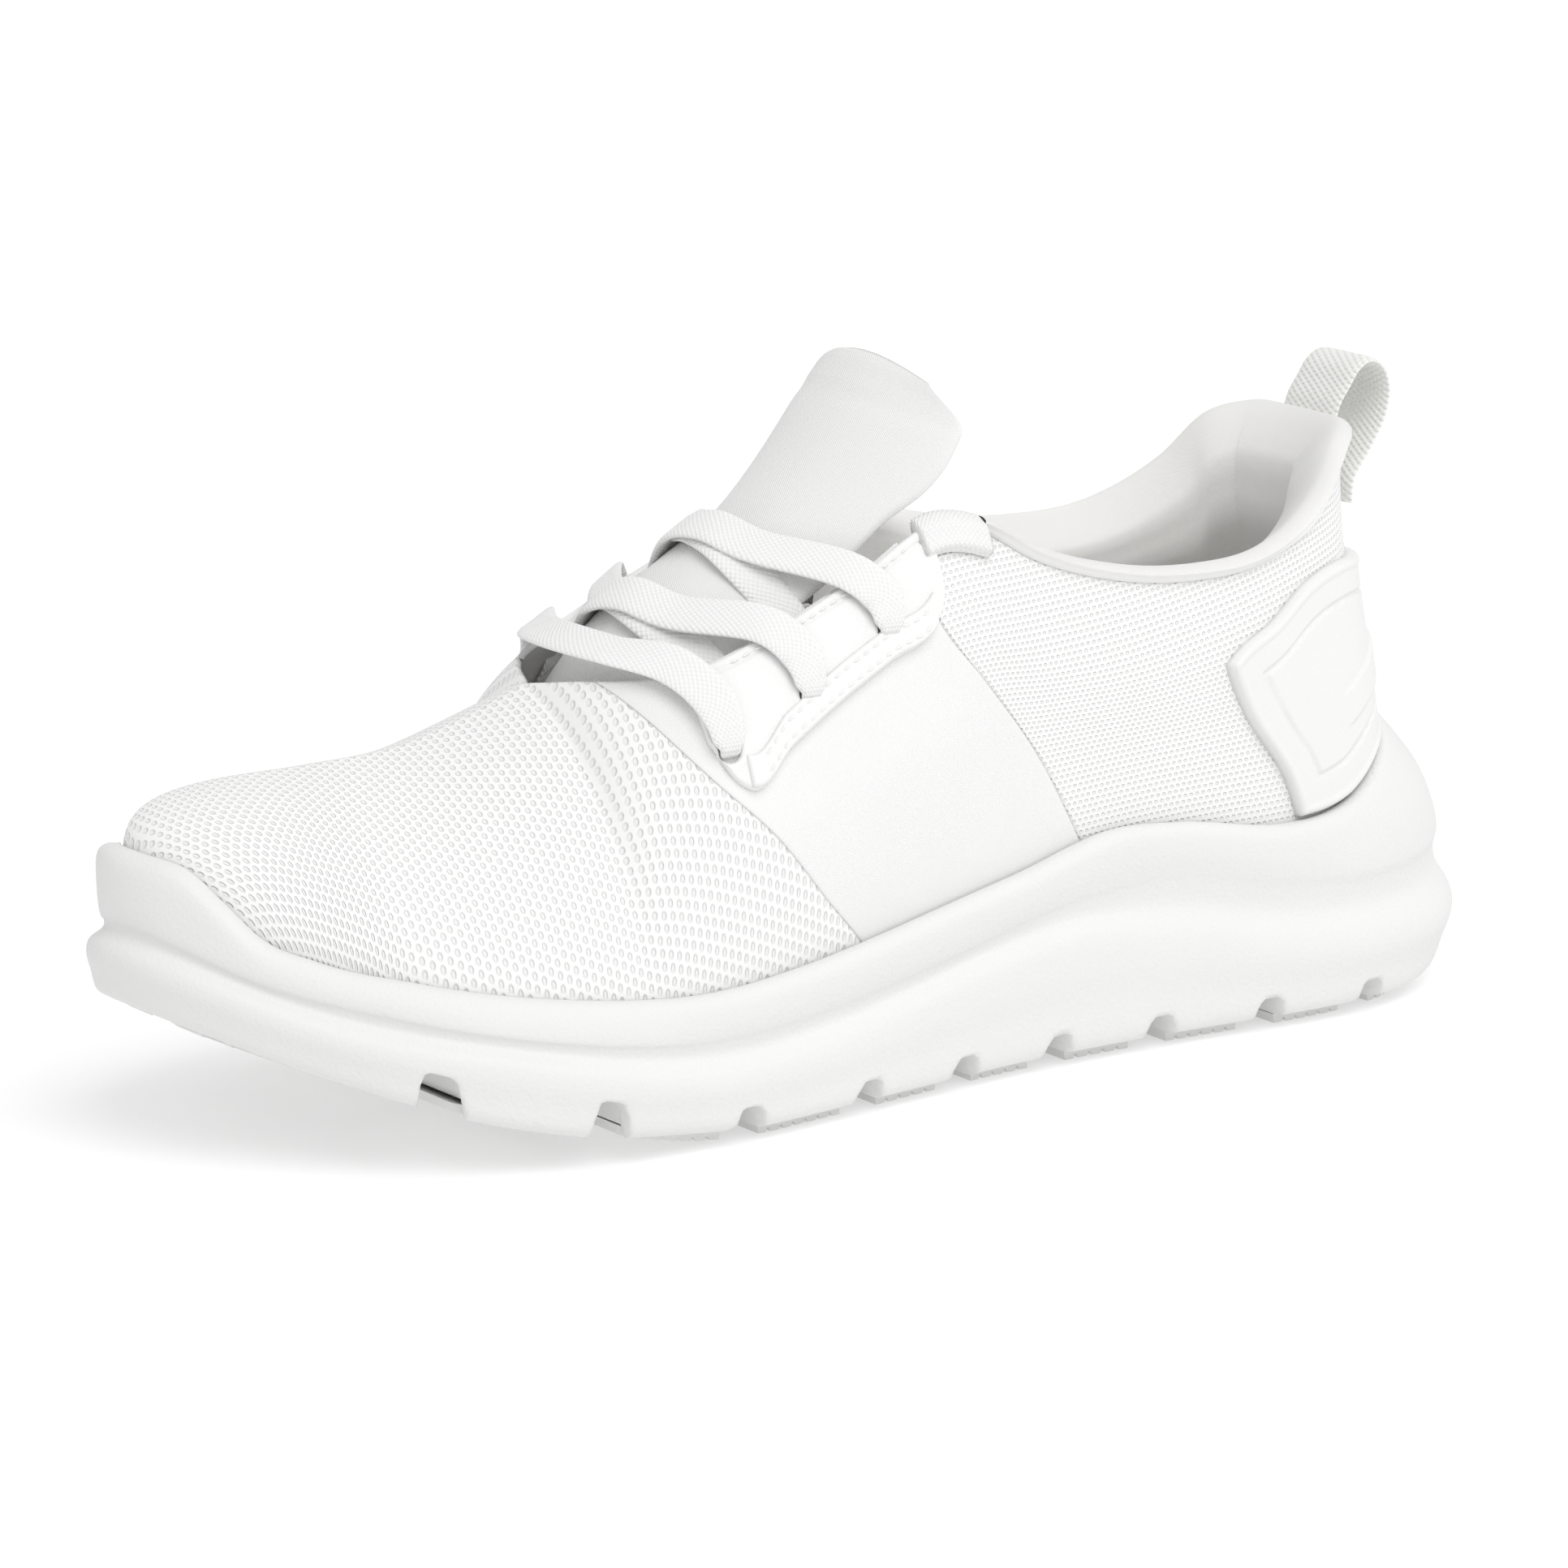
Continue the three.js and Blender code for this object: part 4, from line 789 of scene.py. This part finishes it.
def build_sides():
    for word, side in SIDES:
        a = lambda h, side=side: meet(shifted(saddle_rear, HALF_SEAM), h, side)
        b = lambda h, side=side: meet(shifted(saddle_front, -HALF_SEAM), h, side)
        start, end = (a, b) if side > 0 else (b, a)
        turn, height, _, _ = patch(start, end, constant(FOOT_EDGE), constant(1.0), 121, 80)
        points = at(turn, height, 0)
        points = tucked(points, turn, height, 1.2, 0.16)
        obj = shell(f"saddle_{word}_fine", points, FABRIC, M_SADDLE)
        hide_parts(f"saddle_{word}")
        rear = constant(0.0 if side > 0 else 2.0)
        c = lambda h, side=side: meet(shifted(saddle_rear, -HALF_SEAM), h, side)
        start, end = (rear, c) if side > 0 else (c, rear)
        top = lambda t: mix(0.95, 0.992, smooth(30, 62, station_at(t)))
        turn, height, _, _ = patch(start, end, constant(FOOT_EDGE), top, 201, 90)
        points = at(turn, height, 0)
        points = tucked(points, turn, height, 1.0, 0.14)
        obj = shell(f"quarter_{word}_fine", points, FABRIC, M_QUARTER)
        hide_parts(f"quarter_{word}")


build_vamp()
build_sides()

# ---------------------------------------- collar

PAD_START = 73.0
PAD_END = 106.0
PAD_ROWS = (0, 0.1, 0.2, 0.3, 0.4, 0.5, 0.6, 0.7, 0.78, 0.84, 0.9)
ROLL_DROP = 4.5


def lining_seam(h, by):
    return turn_at(mix(112, 132, smooth(0, 0.5, h)) + by, 1)


def collar_turn(f, h):
    end = lining_seam(h, -0.35)
    return mix(-end, end, f)


def pad_depth(turn, share):
    run = 1 - smooth(PAD_END - 14, PAD_END + 12, station_at(turn))
    return COLLAR_PAD * run * smooth(0, 0.5, share) * (1 - smooth(0.72, 1.04, share))


def pad_height(turn, share):
    top = brim_height(station_at(turn))
    start = np.maximum(top - 34, PAD_START)
    return height_at(turn, mix(start, top, share))


def build_collar():
    f = np.linspace(0, 1, 241)
    t = collar_turn(f, 0.9)
    rows = []
    for j in range(6):
        h = mix(FOOT_EDGE, pad_height(t, 0), j / 6)
        rows.append(at(collar_turn(f, h), h, LINING_OUT - LINING))
    for share in PAD_ROWS:
        rows.append(at(t, pad_height(t, share), LINING_OUT - LINING - pad_depth(t, share)))
    top = brim_height(station_at(t))
    crown = at(t, 0.985, -FABRIC / 2)
    inner = at(t, 0.985, LINING_OUT - LINING * 0.4)
    inner[:, 2] += 1.0
    rows.append(inner)
    crown = crown.copy()
    crown[:, 2] += 2.6
    rows.append(crown)
    outer = at(t, 0.985, GAP + LINING + 0.4)
    outer[:, 2] += 1.0
    rows.append(outer)
    drop = mix(ROLL_DROP, 1.5, smooth(30, 62, station_at(t)))
    rows.append(at(t, height_at(t, top - drop * 0.6), GAP + LINING * 0.8))
    rows.append(at(t, height_at(t, top - drop), GAP + LINING * 0.4))
    rows.append(at(t, height_at(t, top - drop - 0.3), GAP * 0.3))
    points = spline_rows(np.stack(rows, 1), 4)
    # The grid's first side faces the foot, so the sheet is turned to keep its show side out.
    columns, count = points.shape[:2]
    uv = np.stack([lengths(points, 0), lengths(points, 1)], -1)
    faces = grid_faces(columns, count)
    flat_uv = uv.reshape(-1, 2) / 1000
    obj = make_mesh("collar_lining_fine", points.reshape(-1, 3), faces, flat_uv, M_COLLAR)
    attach(obj, "shoe")
    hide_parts("collar_lining")
    return obj


build_collar()

# ---------------------------------------- overlays

counter_front = line([(30, 55), (39.5, 57), (50, 60.5), (63, 69), (72, 72.5), (90, 74)])
counter_top = line([(0, 88), (20, 88.5), (35, 88.5), (47, 86), (59, 80), (71, 74.5), (75, 71)])


def build_counter():
    front = lambda h: meet(counter_front, h, 1)
    low = lambda t: height_at(t, rim(station_at(t)) + 0.6)
    high = lambda t: height_at(t, counter_top(station_at(t)))
    turn, height, _, _ = patch(lambda h: -front(h), front, low, high, 401, 141)
    flat = at(turn, height, GAP + COUNTER_WALL)
    drop, gap = edge_drop(flat, 1.4)
    s, z = flat[..., 0], flat[..., 2]
    # A lip runs round the border; inside it, raised stripes rise towards the heel.
    lip = 0.35 * (1 - smooth(1.6, 2.6, gap))
    field = smooth(8.5, 9.5, gap) * (1 - smooth(40, 44, s))
    climb = z - 58 + (s - 20) * 0.55
    stripes = 0 * s
    for centre in (-15.0, -5.0, 5.0, 15.0):
        stripes = np.maximum(stripes, 1 - smooth(2.9, 3.6, np.abs(climb - centre)))
    frame_line = 1 - smooth(0.35, 0.8, np.abs(gap - 7.4))
    relief = lip + 0.7 * field * stripes - 0.5 * frame_line
    points = at(turn, height, (COUNTER_WALL + GAP) * drop - 0.2 * (1 - drop) + relief * drop)
    obj = shell("heel_counter_fine", points, 0.8, M_COUNTER)
    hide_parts("heel_counter")


build_counter()

stay_low = line([
    (143.5, 96), (145, 92), (146.5, 90.1), (158.6, 84), (170.7, 77.7), (181.2, 71.1),
    (190.7, 64.5), (193.4, 67), (196, 73),
])
TRIM = 0.8
STAY_REAR = 143.5
STAY_FRONT = 196
TRIM_REAR = 146.8
TRIM_FRONT = 190.5


eyelet_drop = line([(158, 13), (176, 15), (193, 18)])


def height_below_top(turn, distance):
    """The height on each profile that lies this far below the throat's edge."""
    turn = np.atleast_1d(np.asarray(turn, float))
    heights = np.linspace(0.6, 1, 161)
    points = upper(turn[:, None], heights[None, :])
    gaps = np.linalg.norm(points - points[:, -1:], axis=-1)
    return np.array([np.interp(distance, row[::-1], heights[::-1]) for row in gaps])


def eyelet_height(turn):
    return float(height_below_top(turn, eyelet_drop(station_at(turn)))[0])


def stitch_row(name, turns, heights, depth, pitch=2.6, length=1.9, radius=0.27):
    """A row of stitches along a run of places on the reference surface, as one mesh of small capsules."""
    points = at(turns, heights, depth)
    normals = normal(turns, heights)
    run = np.concatenate([[0], np.cumsum(np.linalg.norm(np.diff(points, axis=0), axis=1))])
    starts = np.arange(pitch / 2, run[-1] - length, pitch)
    verts, faces = [], []
    ring = 6
    profile = [(-1.0, 0.15), (-0.7, 0.8), (0.0, 1.0), (0.7, 0.8), (1.0, 0.15)]
    for s0 in starts:
        mid = s0 + length / 2
        c = np.array([np.interp(mid, run, points[:, k]) for k in range(3)])
        a = np.array([np.interp(mid + 0.5, run, points[:, k]) for k in range(3)])
        n = unit(np.array([np.interp(mid, run, normals[:, k]) for k in range(3)]))
        t = unit(a - c)
        side = np.cross(t, n)
        first = len(verts)
        for x, r in profile:
            sink = -0.35 * radius * x * x
            for q in range(ring):
                angle = 2 * math.pi * q / ring
                outward = (side * math.cos(angle) + n * math.sin(angle)) * radius * r
                verts.append(c + t * x * length / 2 + outward + n * sink)
        for p in range(len(profile) - 1):
            for q in range(ring):
                i, j = first + p * ring + q, first + p * ring + (q + 1) % ring
                faces.append((i, j, j + ring, i + ring))
    obj = make_mesh(name, np.array(verts), faces, None, M_THREAD)
    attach(obj, "shoe")
    return obj


def build_eyestays():
    for word, side in SIDES:
        rear, front = constant(turn_at(STAY_REAR, side)), constant(turn_at(STAY_FRONT, side))
        start, end = (rear, front) if side > 0 else (front, rear)
        low = lambda t: height_at(t, stay_low(station_at(t)))
        turn, height, _, _ = patch(start, end, low, constant(0.992), 281, 81)
        flat = at(turn, height, GAP + OVERLAY)
        drop, gap = edge_drop(flat, 1.0)
        depth = (GAP + OVERLAY) * drop - 0.1
        # A stitched crease along the throat's edge, and a dimple round each eyelet.
        v = lengths(flat, 1)
        from_top = v[:, -1:] - v
        depth = depth - 0.35 * np.exp(-((from_top - 2.4) / 0.5) ** 2)
        for station in EYELETS:
            t0 = turn_at(station, side)
            centre = at(t0, eyelet_height(t0), GAP + OVERLAY)
            r = np.linalg.norm(flat - centre, axis=-1)
            depth = depth - 2.6 * (1 - smooth(1.5, 2.4, r)) + 0.25 * np.exp(-((r - 3.1) / 0.7) ** 2)
        points = at(turn, height, depth)
        obj = shell(f"eyestay_{word}_fine", points, 0.5, M_LEATHER)
        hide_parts(f"eyestay_{word}")
        ends = (constant(turn_at(TRIM_REAR, side)), constant(turn_at(TRIM_FRONT, side)))
        start, end = ends if side > 0 else ends[::-1]
        strip_low = lambda t: height_at(t, stay_low(station_at(t)) + 0.5)
        strip_high = lambda t: height_at(t, stay_low(station_at(t)) + 6.2)
        turn, height, _, _ = patch(start, end, strip_low, strip_high, 281, 25)
        flat = at(turn, height, GAP + OVERLAY)
        drop, _ = edge_drop(flat, 0.8)
        points = at(turn, height, GAP + OVERLAY - 0.2 + (TRIM + 0.2) * drop)
        obj = shell(f"eyestay_trim_{word}_fine", points, 0.4, M_LEATHER)
        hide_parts(f"eyestay_trim_{word}")
        t = np.linspace(float(turn_at(148, side)), float(turn_at(189, side)), 160)
        for k, rise in enumerate((1.9, 4.8)):
            h = height_at(t, stay_low(station_at(t)) + rise)
            stitch_row(f"eyestay_stitches_{word}_{k + 1}", t, h, GAP + OVERLAY + TRIM + 0.1)
        top_h = height_below_top(t, 2.4)
        stitch_row(f"eyestay_edge_stitches_{word}", t, top_h, GAP + OVERLAY - 0.15)


build_eyestays()


def build_bands():
    for word, side in SIDES:
        ends = (float(turn_at(131, side)), float(turn_at(146.5, side)))
        rear, front = ends if side > 0 else ends[::-1]
        t = np.linspace(rear, front, 61)
        outer, inner = GAP + 2.1, -FABRIC - GAP - 0.6
        top = at(t, 1.0, -FABRIC / 2)
        up = unit(top - at(t, 0.95, -FABRIC / 2))
        rows = [
            at(t, 0.87, inner), at(t, 0.93, inner), at(t, 0.985, inner + 0.2), top + up * (GAP + 1.5),
            at(t, 0.985, outer - 0.1), at(t, 0.95, outer), at(t, 0.92, outer), at(t, 0.905, GAP),
        ]
        points = spline_rows(np.stack(rows, 1), 6)
        columns, count = points.shape[:2]
        flat_edge, _ = edge_drop(points, 1.0, (True, True, False, False))
        core = np.stack([at(t, 0.93, 0)] * count, 1)
        points = mix(core, points, (0.55 + 0.45 * flat_edge)[..., None])
        uv = np.stack([lengths(points, 0), lengths(points, 1)], -1)
        faces = grid_faces(columns, count)
        flat_uv = uv.reshape(-1, 2) / 1000
        name = f"collar_band_{word}_fine"
        obj = make_mesh(name, points.reshape(-1, 3), faces, flat_uv, M_BAND)
        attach(obj, "shoe")
        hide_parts(f"collar_band_{word}")


build_bands()

# ---------------------------------------- tongue


def catmull(points, samples):
    grid = spline_rows(np.array(points, float)[None], samples)
    return grid[0]


SPINE = catmull([
    (216, 0, 65.5), (208, 0, 76.5), (194, 0, 91.5), (178, 0, 101.8), (167.5, 0, 108),
    (157, 0, 117.5), (147.5, 0, 129), (139.5, 0, 138.6),
], 24)
SPINE_RUN = np.concatenate([[0], np.cumsum(np.linalg.norm(np.diff(SPINE, axis=0), axis=1))])
SPINE_RUN /= SPINE_RUN[-1]
tongue_half = line([
    (0, 12), (0.12, 18), (0.3, 21.5), (0.6, 21.5), (0.7, 22.5), (0.77, 25.2), (0.86, 25.6),
    (0.93, 24.2), (1, 17),
])


def spine(w):
    return np.stack([np.interp(w, SPINE_RUN, SPINE[:, k]) for k in range(3)], -1)


def spine_normal(w):
    t = unit(spine(np.clip(w + 0.02, 0, 1)) - spine(np.clip(w - 0.02, 0, 1)))
    return np.stack([t[..., 2], 0 * t[..., 0], -t[..., 0]], -1)


TONGUE_WRAP = 0.7


def tongue_point(v, w, depth):
    n = spine_normal(w)
    share = (TONGUE_WRAP * smooth(0.5, 0.8, w))[..., None]
    bend = unit(n * (1 - share) + np.array([1.0, 0.0, 0.1]) * share)
    p = spine(w) + n * depth[..., None] - bend * (TONGUE_ARCH * v * v)[..., None]
    p[..., 1] = v + TONGUE_SHIFT
    return p


def build_tongue():
    w = np.linspace(0, 1, 141)
    around = np.linspace(0, 2 * math.pi, 97)[:-1]
    # The section is a thin cushion: flat faces with soft round edges.
    x = np.sign(np.cos(around)) * np.abs(np.cos(around)) ** 0.55
    y = np.sign(np.sin(around)) * np.abs(np.sin(around)) ** 0.55
    W, X = np.meshgrid(w, x, indexing="ij")
    _, Y = np.meshgrid(w, y, indexing="ij")
    end = np.sqrt(np.clip(1 - np.clip((W - 0.965) / 0.035, 0, 1) ** 2, 0, 1))
    v = tongue_half(W) * X
    reach = W * (1 - 0.035 * X * X * smooth(0.8, 1, W))
    depth = -TONGUE / 2 + TONGUE / 2 * Y * np.maximum(end, 0.05)
    crease_line = 0.25 * np.exp(-((W - 0.9) / 0.02) ** 2) * (Y > 0)
    points = tongue_point(v, np.clip(reach, 0, 1), depth - crease_line)
    columns, rows = points.shape[:2]
    uv = np.stack([tongue_half(W) * X, lengths(points, 0)], -1)
    verts = points.reshape(-1, 3)
    faces = [tuple(f) for f in grid_faces(columns, rows, wrap_rows=True)]
    faces.append(tuple(range(rows - 1, -1, -1)))
    faces.append(tuple((columns - 1) * rows + k for k in range(rows)))
    obj = make_mesh("tongue_fine", verts, faces, uv.reshape(-1, 2) / 1000, M_TONGUE)
    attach(obj, "tongue")
    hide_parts("tongue")


build_tongue()

# ---------------------------------------- lace


def ribbon(name, stops, thickness, material, body, steps=14, ribs=True):
    """A flat ribbon through stops of (point, facing, half width)."""
    p = np.array([s[0] for s in stops], float)
    n = np.array([s[1] for s in stops], float)
    half = np.array([s[2] for s in stops], float)
    path = spline_rows(p[None], steps)[0]
    u = np.linspace(0, len(stops) - 1, len(path))
    face = np.stack([np.interp(u, range(len(stops)), n[:, k]) for k in range(3)], -1)
    k = np.clip(u.astype(int), 0, len(stops) - 2)
    width = mix(half[k], half[k + 1], smooth(0, 1, u - k))
    tangent = unit(np.gradient(path, axis=0))
    wide = unit(np.cross(tangent, face))
    flat = np.cross(wide, tangent)
    around = np.linspace(0, 2 * math.pi, 41)[:-1]
    x = np.sign(np.cos(around)) * np.abs(np.cos(around)) ** 0.6
    y = np.sign(np.sin(around)) * np.abs(np.sin(around)) ** 0.75
    # Two low ribs run along the ribbon's edges.
    rib = 1 + (0.12 * np.exp(-((np.abs(x) - 0.72) / 0.13) ** 2) if ribs else 0)
    across = wide[:, None] * (width[:, None] * x)[..., None]
    points = path[:, None] + across + flat[:, None] * (thickness / 2 * y * rib)[None, :, None]
    rows, cols = points.shape[:2]
    run = lengths(path[:, None], 0)[:, 0]
    uv = np.stack([np.repeat(run[:, None], cols, 1), LACE_WIDTH / 2 * np.repeat(x[None], rows, 0)], -1)
    faces = [tuple(f) for f in grid_faces(rows, cols, wrap_rows=True, flip=True)]
    faces.append(tuple(range(cols)))
    faces.append(tuple((rows - 1) * cols + q for q in range(cols - 1, -1, -1)))
    obj = make_mesh(name, points.reshape(-1, 3), faces, uv.reshape(-1, 2) / 1000, material)
    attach(obj, body)
    return obj, float(run[-1])


LACE_OUT = 2 * GAP + OVERLAY + LACE_THICK / 2
LACE_IN = -FABRIC - GAP - LACE_THICK / 2


def through_eyelet(k, side):
    turn = turn_at(EYELETS[3 - k], side)
    h = eyelet_height(turn)
    n = normal(turn, h)
    away = unit(upper(turn, h - 0.05) - upper(turn, h))
    spot = lambda depth: at(turn, h, depth)
    return [
        (at(turn, (1 + h) / 2, LACE_OUT + 0.1), normal(turn, (1 + h) / 2), LACE_WIDTH / 2),
        (spot(LACE_OUT) - 2.6 * away, n, 3.3),
        (spot(LACE_OUT - 0.7), n + away, 2.0),
        (spot(-FABRIC / 2), away, 1.5),
        (spot(LACE_IN + 0.5), away - n, 1.7),
        (spot(LACE_IN) - 3.2 * away, -n, 2.6),
    ]


def over_edge(k, side):
    turn = turn_at(EYELETS[3 - k] + 3, side)
    return (at(turn, 1.0, LACE_OUT + 0.2), normal(turn, 0.98), LACE_WIDTH / 2)


def under_edge(k, side):
    turn = turn_at(EYELETS[3 - k] - 3, side)
    return (at(turn, 0.97, LACE_IN - 1.4), normal(turn, 0.98), LACE_WIDTH / 2)


def tongue_share(station, v):
    low, high = 0.0, 1.0
    for _ in range(24):
        mid = (low + high) / 2
        if tongue_point(np.array(float(v)), np.array(mid), np.array(0.0))[0] > station:
            low = mid
        else:
            high = mid
    return low


def over_tongue(a, b, layer):
    wa = tongue_share(a[0], a[1] - TONGUE_SHIFT)
    wb = tongue_share(b[0], b[1] - TONGUE_SHIFT)
    stops = []
    for f in (0.3, 0.5, 0.7):
        v = mix(a[1], b[1], f) - TONGUE_SHIFT
        w = mix(wa, wb, f)
        lift = layer * (LACE_THICK + GAP) * (1.0 if f == 0.5 else 0.6)
        p = tongue_point(np.array(v), np.array(w), np.array(GAP + LACE_THICK / 2 + 0.5 + lift))
        n = spine_normal(np.array(w)) + np.array([0, math.copysign(0.35, v), 0])
        stops.append((p, n, LACE_WIDTH / 2))
    return stops


def strand(k, side, layer):
    a, b = over_edge(k, side), under_edge(k - 1, -side)
    return [a, *over_tongue(a[0], b[0], layer), b]


def half_lace(side, layer):
    turn = turn_at(EYELETS[0], side)
    h = eyelet_height(turn)
    away = unit(upper(turn, h - 0.05) - upper(turn, h))
    tail = (at(turn, h, LACE_IN) + 7 * away, -normal(turn, h), 2.6)
    return [
        tail, *through_eyelet(3, side)[:5][::-1], *strand(3, side, layer), *through_eyelet(2, -side)[::-1],
        *strand(2, -side, 1 - layer), *through_eyelet(1, side)[::-1],
    ]


def build_lace():
    ends = [over_edge(1, 1), over_edge(1, -1)]
    bar = []
    for f in (0.25, 0.5, 0.75):
        p = mix(ends[0][0], ends[1][0], f)
        crown = 1 - (2 * f - 1) ** 2
        p[0] = mix(p[0], BAR_STATION, crown)
        p[2] = mix(p[2], BAR_HEIGHT, crown)
        bar.append((p, np.array([0.41, 0, 0.91]), LACE_WIDTH / 2))
    stops = [*half_lace(1, 1), ends[0], *bar, ends[1], *half_lace(-1, 0)[::-1]]
    obj, run = ribbon("lace_fine", stops, LACE_THICK, M_LACE, "shoe")
    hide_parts("lace")
    return run


build_lace()

# ---------------------------------------- pull tab


def build_tab():
    loop = [
        (23.2, 96), (22.6, 101), (18.8, 106.5), (15, 113), (14, 118.5), (15.6, 122.8),
        (18.6, 124.4), (21.6, 123), (24.2, 119.6), (26.4, 116.4), (27.2, 114.2), (27.8, 111.5),
    ]
    stops = []
    for i, (s, z) in enumerate(loop):
        a, b = loop[max(0, i - 1)], loop[min(len(loop) - 1, i + 1)]
        stops.append(((s, 0, z), unit(np.array([b[1] - a[1], 0.0, a[0] - b[0]])), TAB_WIDTH / 2))
    obj, _ = ribbon("pull_tab_fine", stops, TAB_THICK, M_TAB, "pull_tab")
    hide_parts("pull_tab")


build_tab()

# ---------------------------------------- studio


def sun_light(name, position, strength, softness):
    data = bpy.data.lights.new(name, "SUN")
    data.energy = strength
    data.angle = math.radians(softness)
    obj = bpy.data.objects.new(name, data)
    bpy.context.scene.collection.objects.link(obj)
    obj.location = position
    aim(obj, (0, 0, 0))
    return obj


def aim(obj, target):
    direction = Vector(target) - obj.location
    obj.rotation_euler = direction.to_track_quat("-Z", "Y").to_euler()


def studio():
    """Pale floor, two soft suns, an even sky and the camera at the reference view."""
    scene = bpy.context.scene
    world = bpy.data.worlds.new("studio")
    scene.world = world
    world.use_nodes = True
    world.node_tree.nodes["Background"].inputs["Color"].default_value = (1, 1, 1, 1)
    world.node_tree.nodes["Background"].inputs["Strength"].default_value = WORLD_STRENGTH
    mesh = bpy.data.meshes.new("floor")
    size = FLOOR_HALF
    corners = [(-size, -size, 0), (size, -size, 0), (size, size, 0), (-size, size, 0)]
    mesh.from_pydata(corners, [], [(0, 1, 2, 3)])
    floor = bpy.data.objects.new("floor", mesh)
    scene.collection.objects.link(floor)
    material = bpy.data.materials.new("pale_floor")
    material.use_nodes = True
    shader = material.node_tree.nodes["Principled BSDF"]
    shader.inputs["Base Color"].default_value = (FLOOR_GREY, FLOOR_GREY, FLOOR_GREY, 1)
    shader.inputs["Emission Color"].default_value = (1, 1, 1, 1)
    shader.inputs["Emission Strength"].default_value = FLOOR_GLOW
    shader.inputs["Roughness"].default_value = 1.0
    shader.inputs["Specular IOR Level"].default_value = 0.0
    mesh.materials.append(material)
    sun_light("key", **KEY_SUN)
    sun_light("side", **SIDE_SUN)
    scene.view_settings.view_transform = "Standard"
    scene.view_settings.look = "None"
    azimuth, elevation = math.radians(CAMERA_AZIMUTH), math.radians(CAMERA_ELEVATION)
    distance = CAMERA_DISTANCE
    data = bpy.data.cameras.new("camera")
    camera = bpy.data.objects.new("camera", data)
    scene.collection.objects.link(camera)
    target = (SHIFT_X, SHIFT_Y, TARGET_HEIGHT)
    camera.location = (
        target[0] + distance * math.cos(elevation) * math.sin(azimuth),
        target[1] - distance * math.cos(elevation) * math.cos(azimuth),
        target[2] + distance * math.sin(elevation),
    )
    aim(camera, target)
    data.sensor_width = 36.0
    data.lens = CAMERA_LENS
    data.shift_x, data.shift_y = CAMERA_SHIFT
    scene.camera = camera


studio()
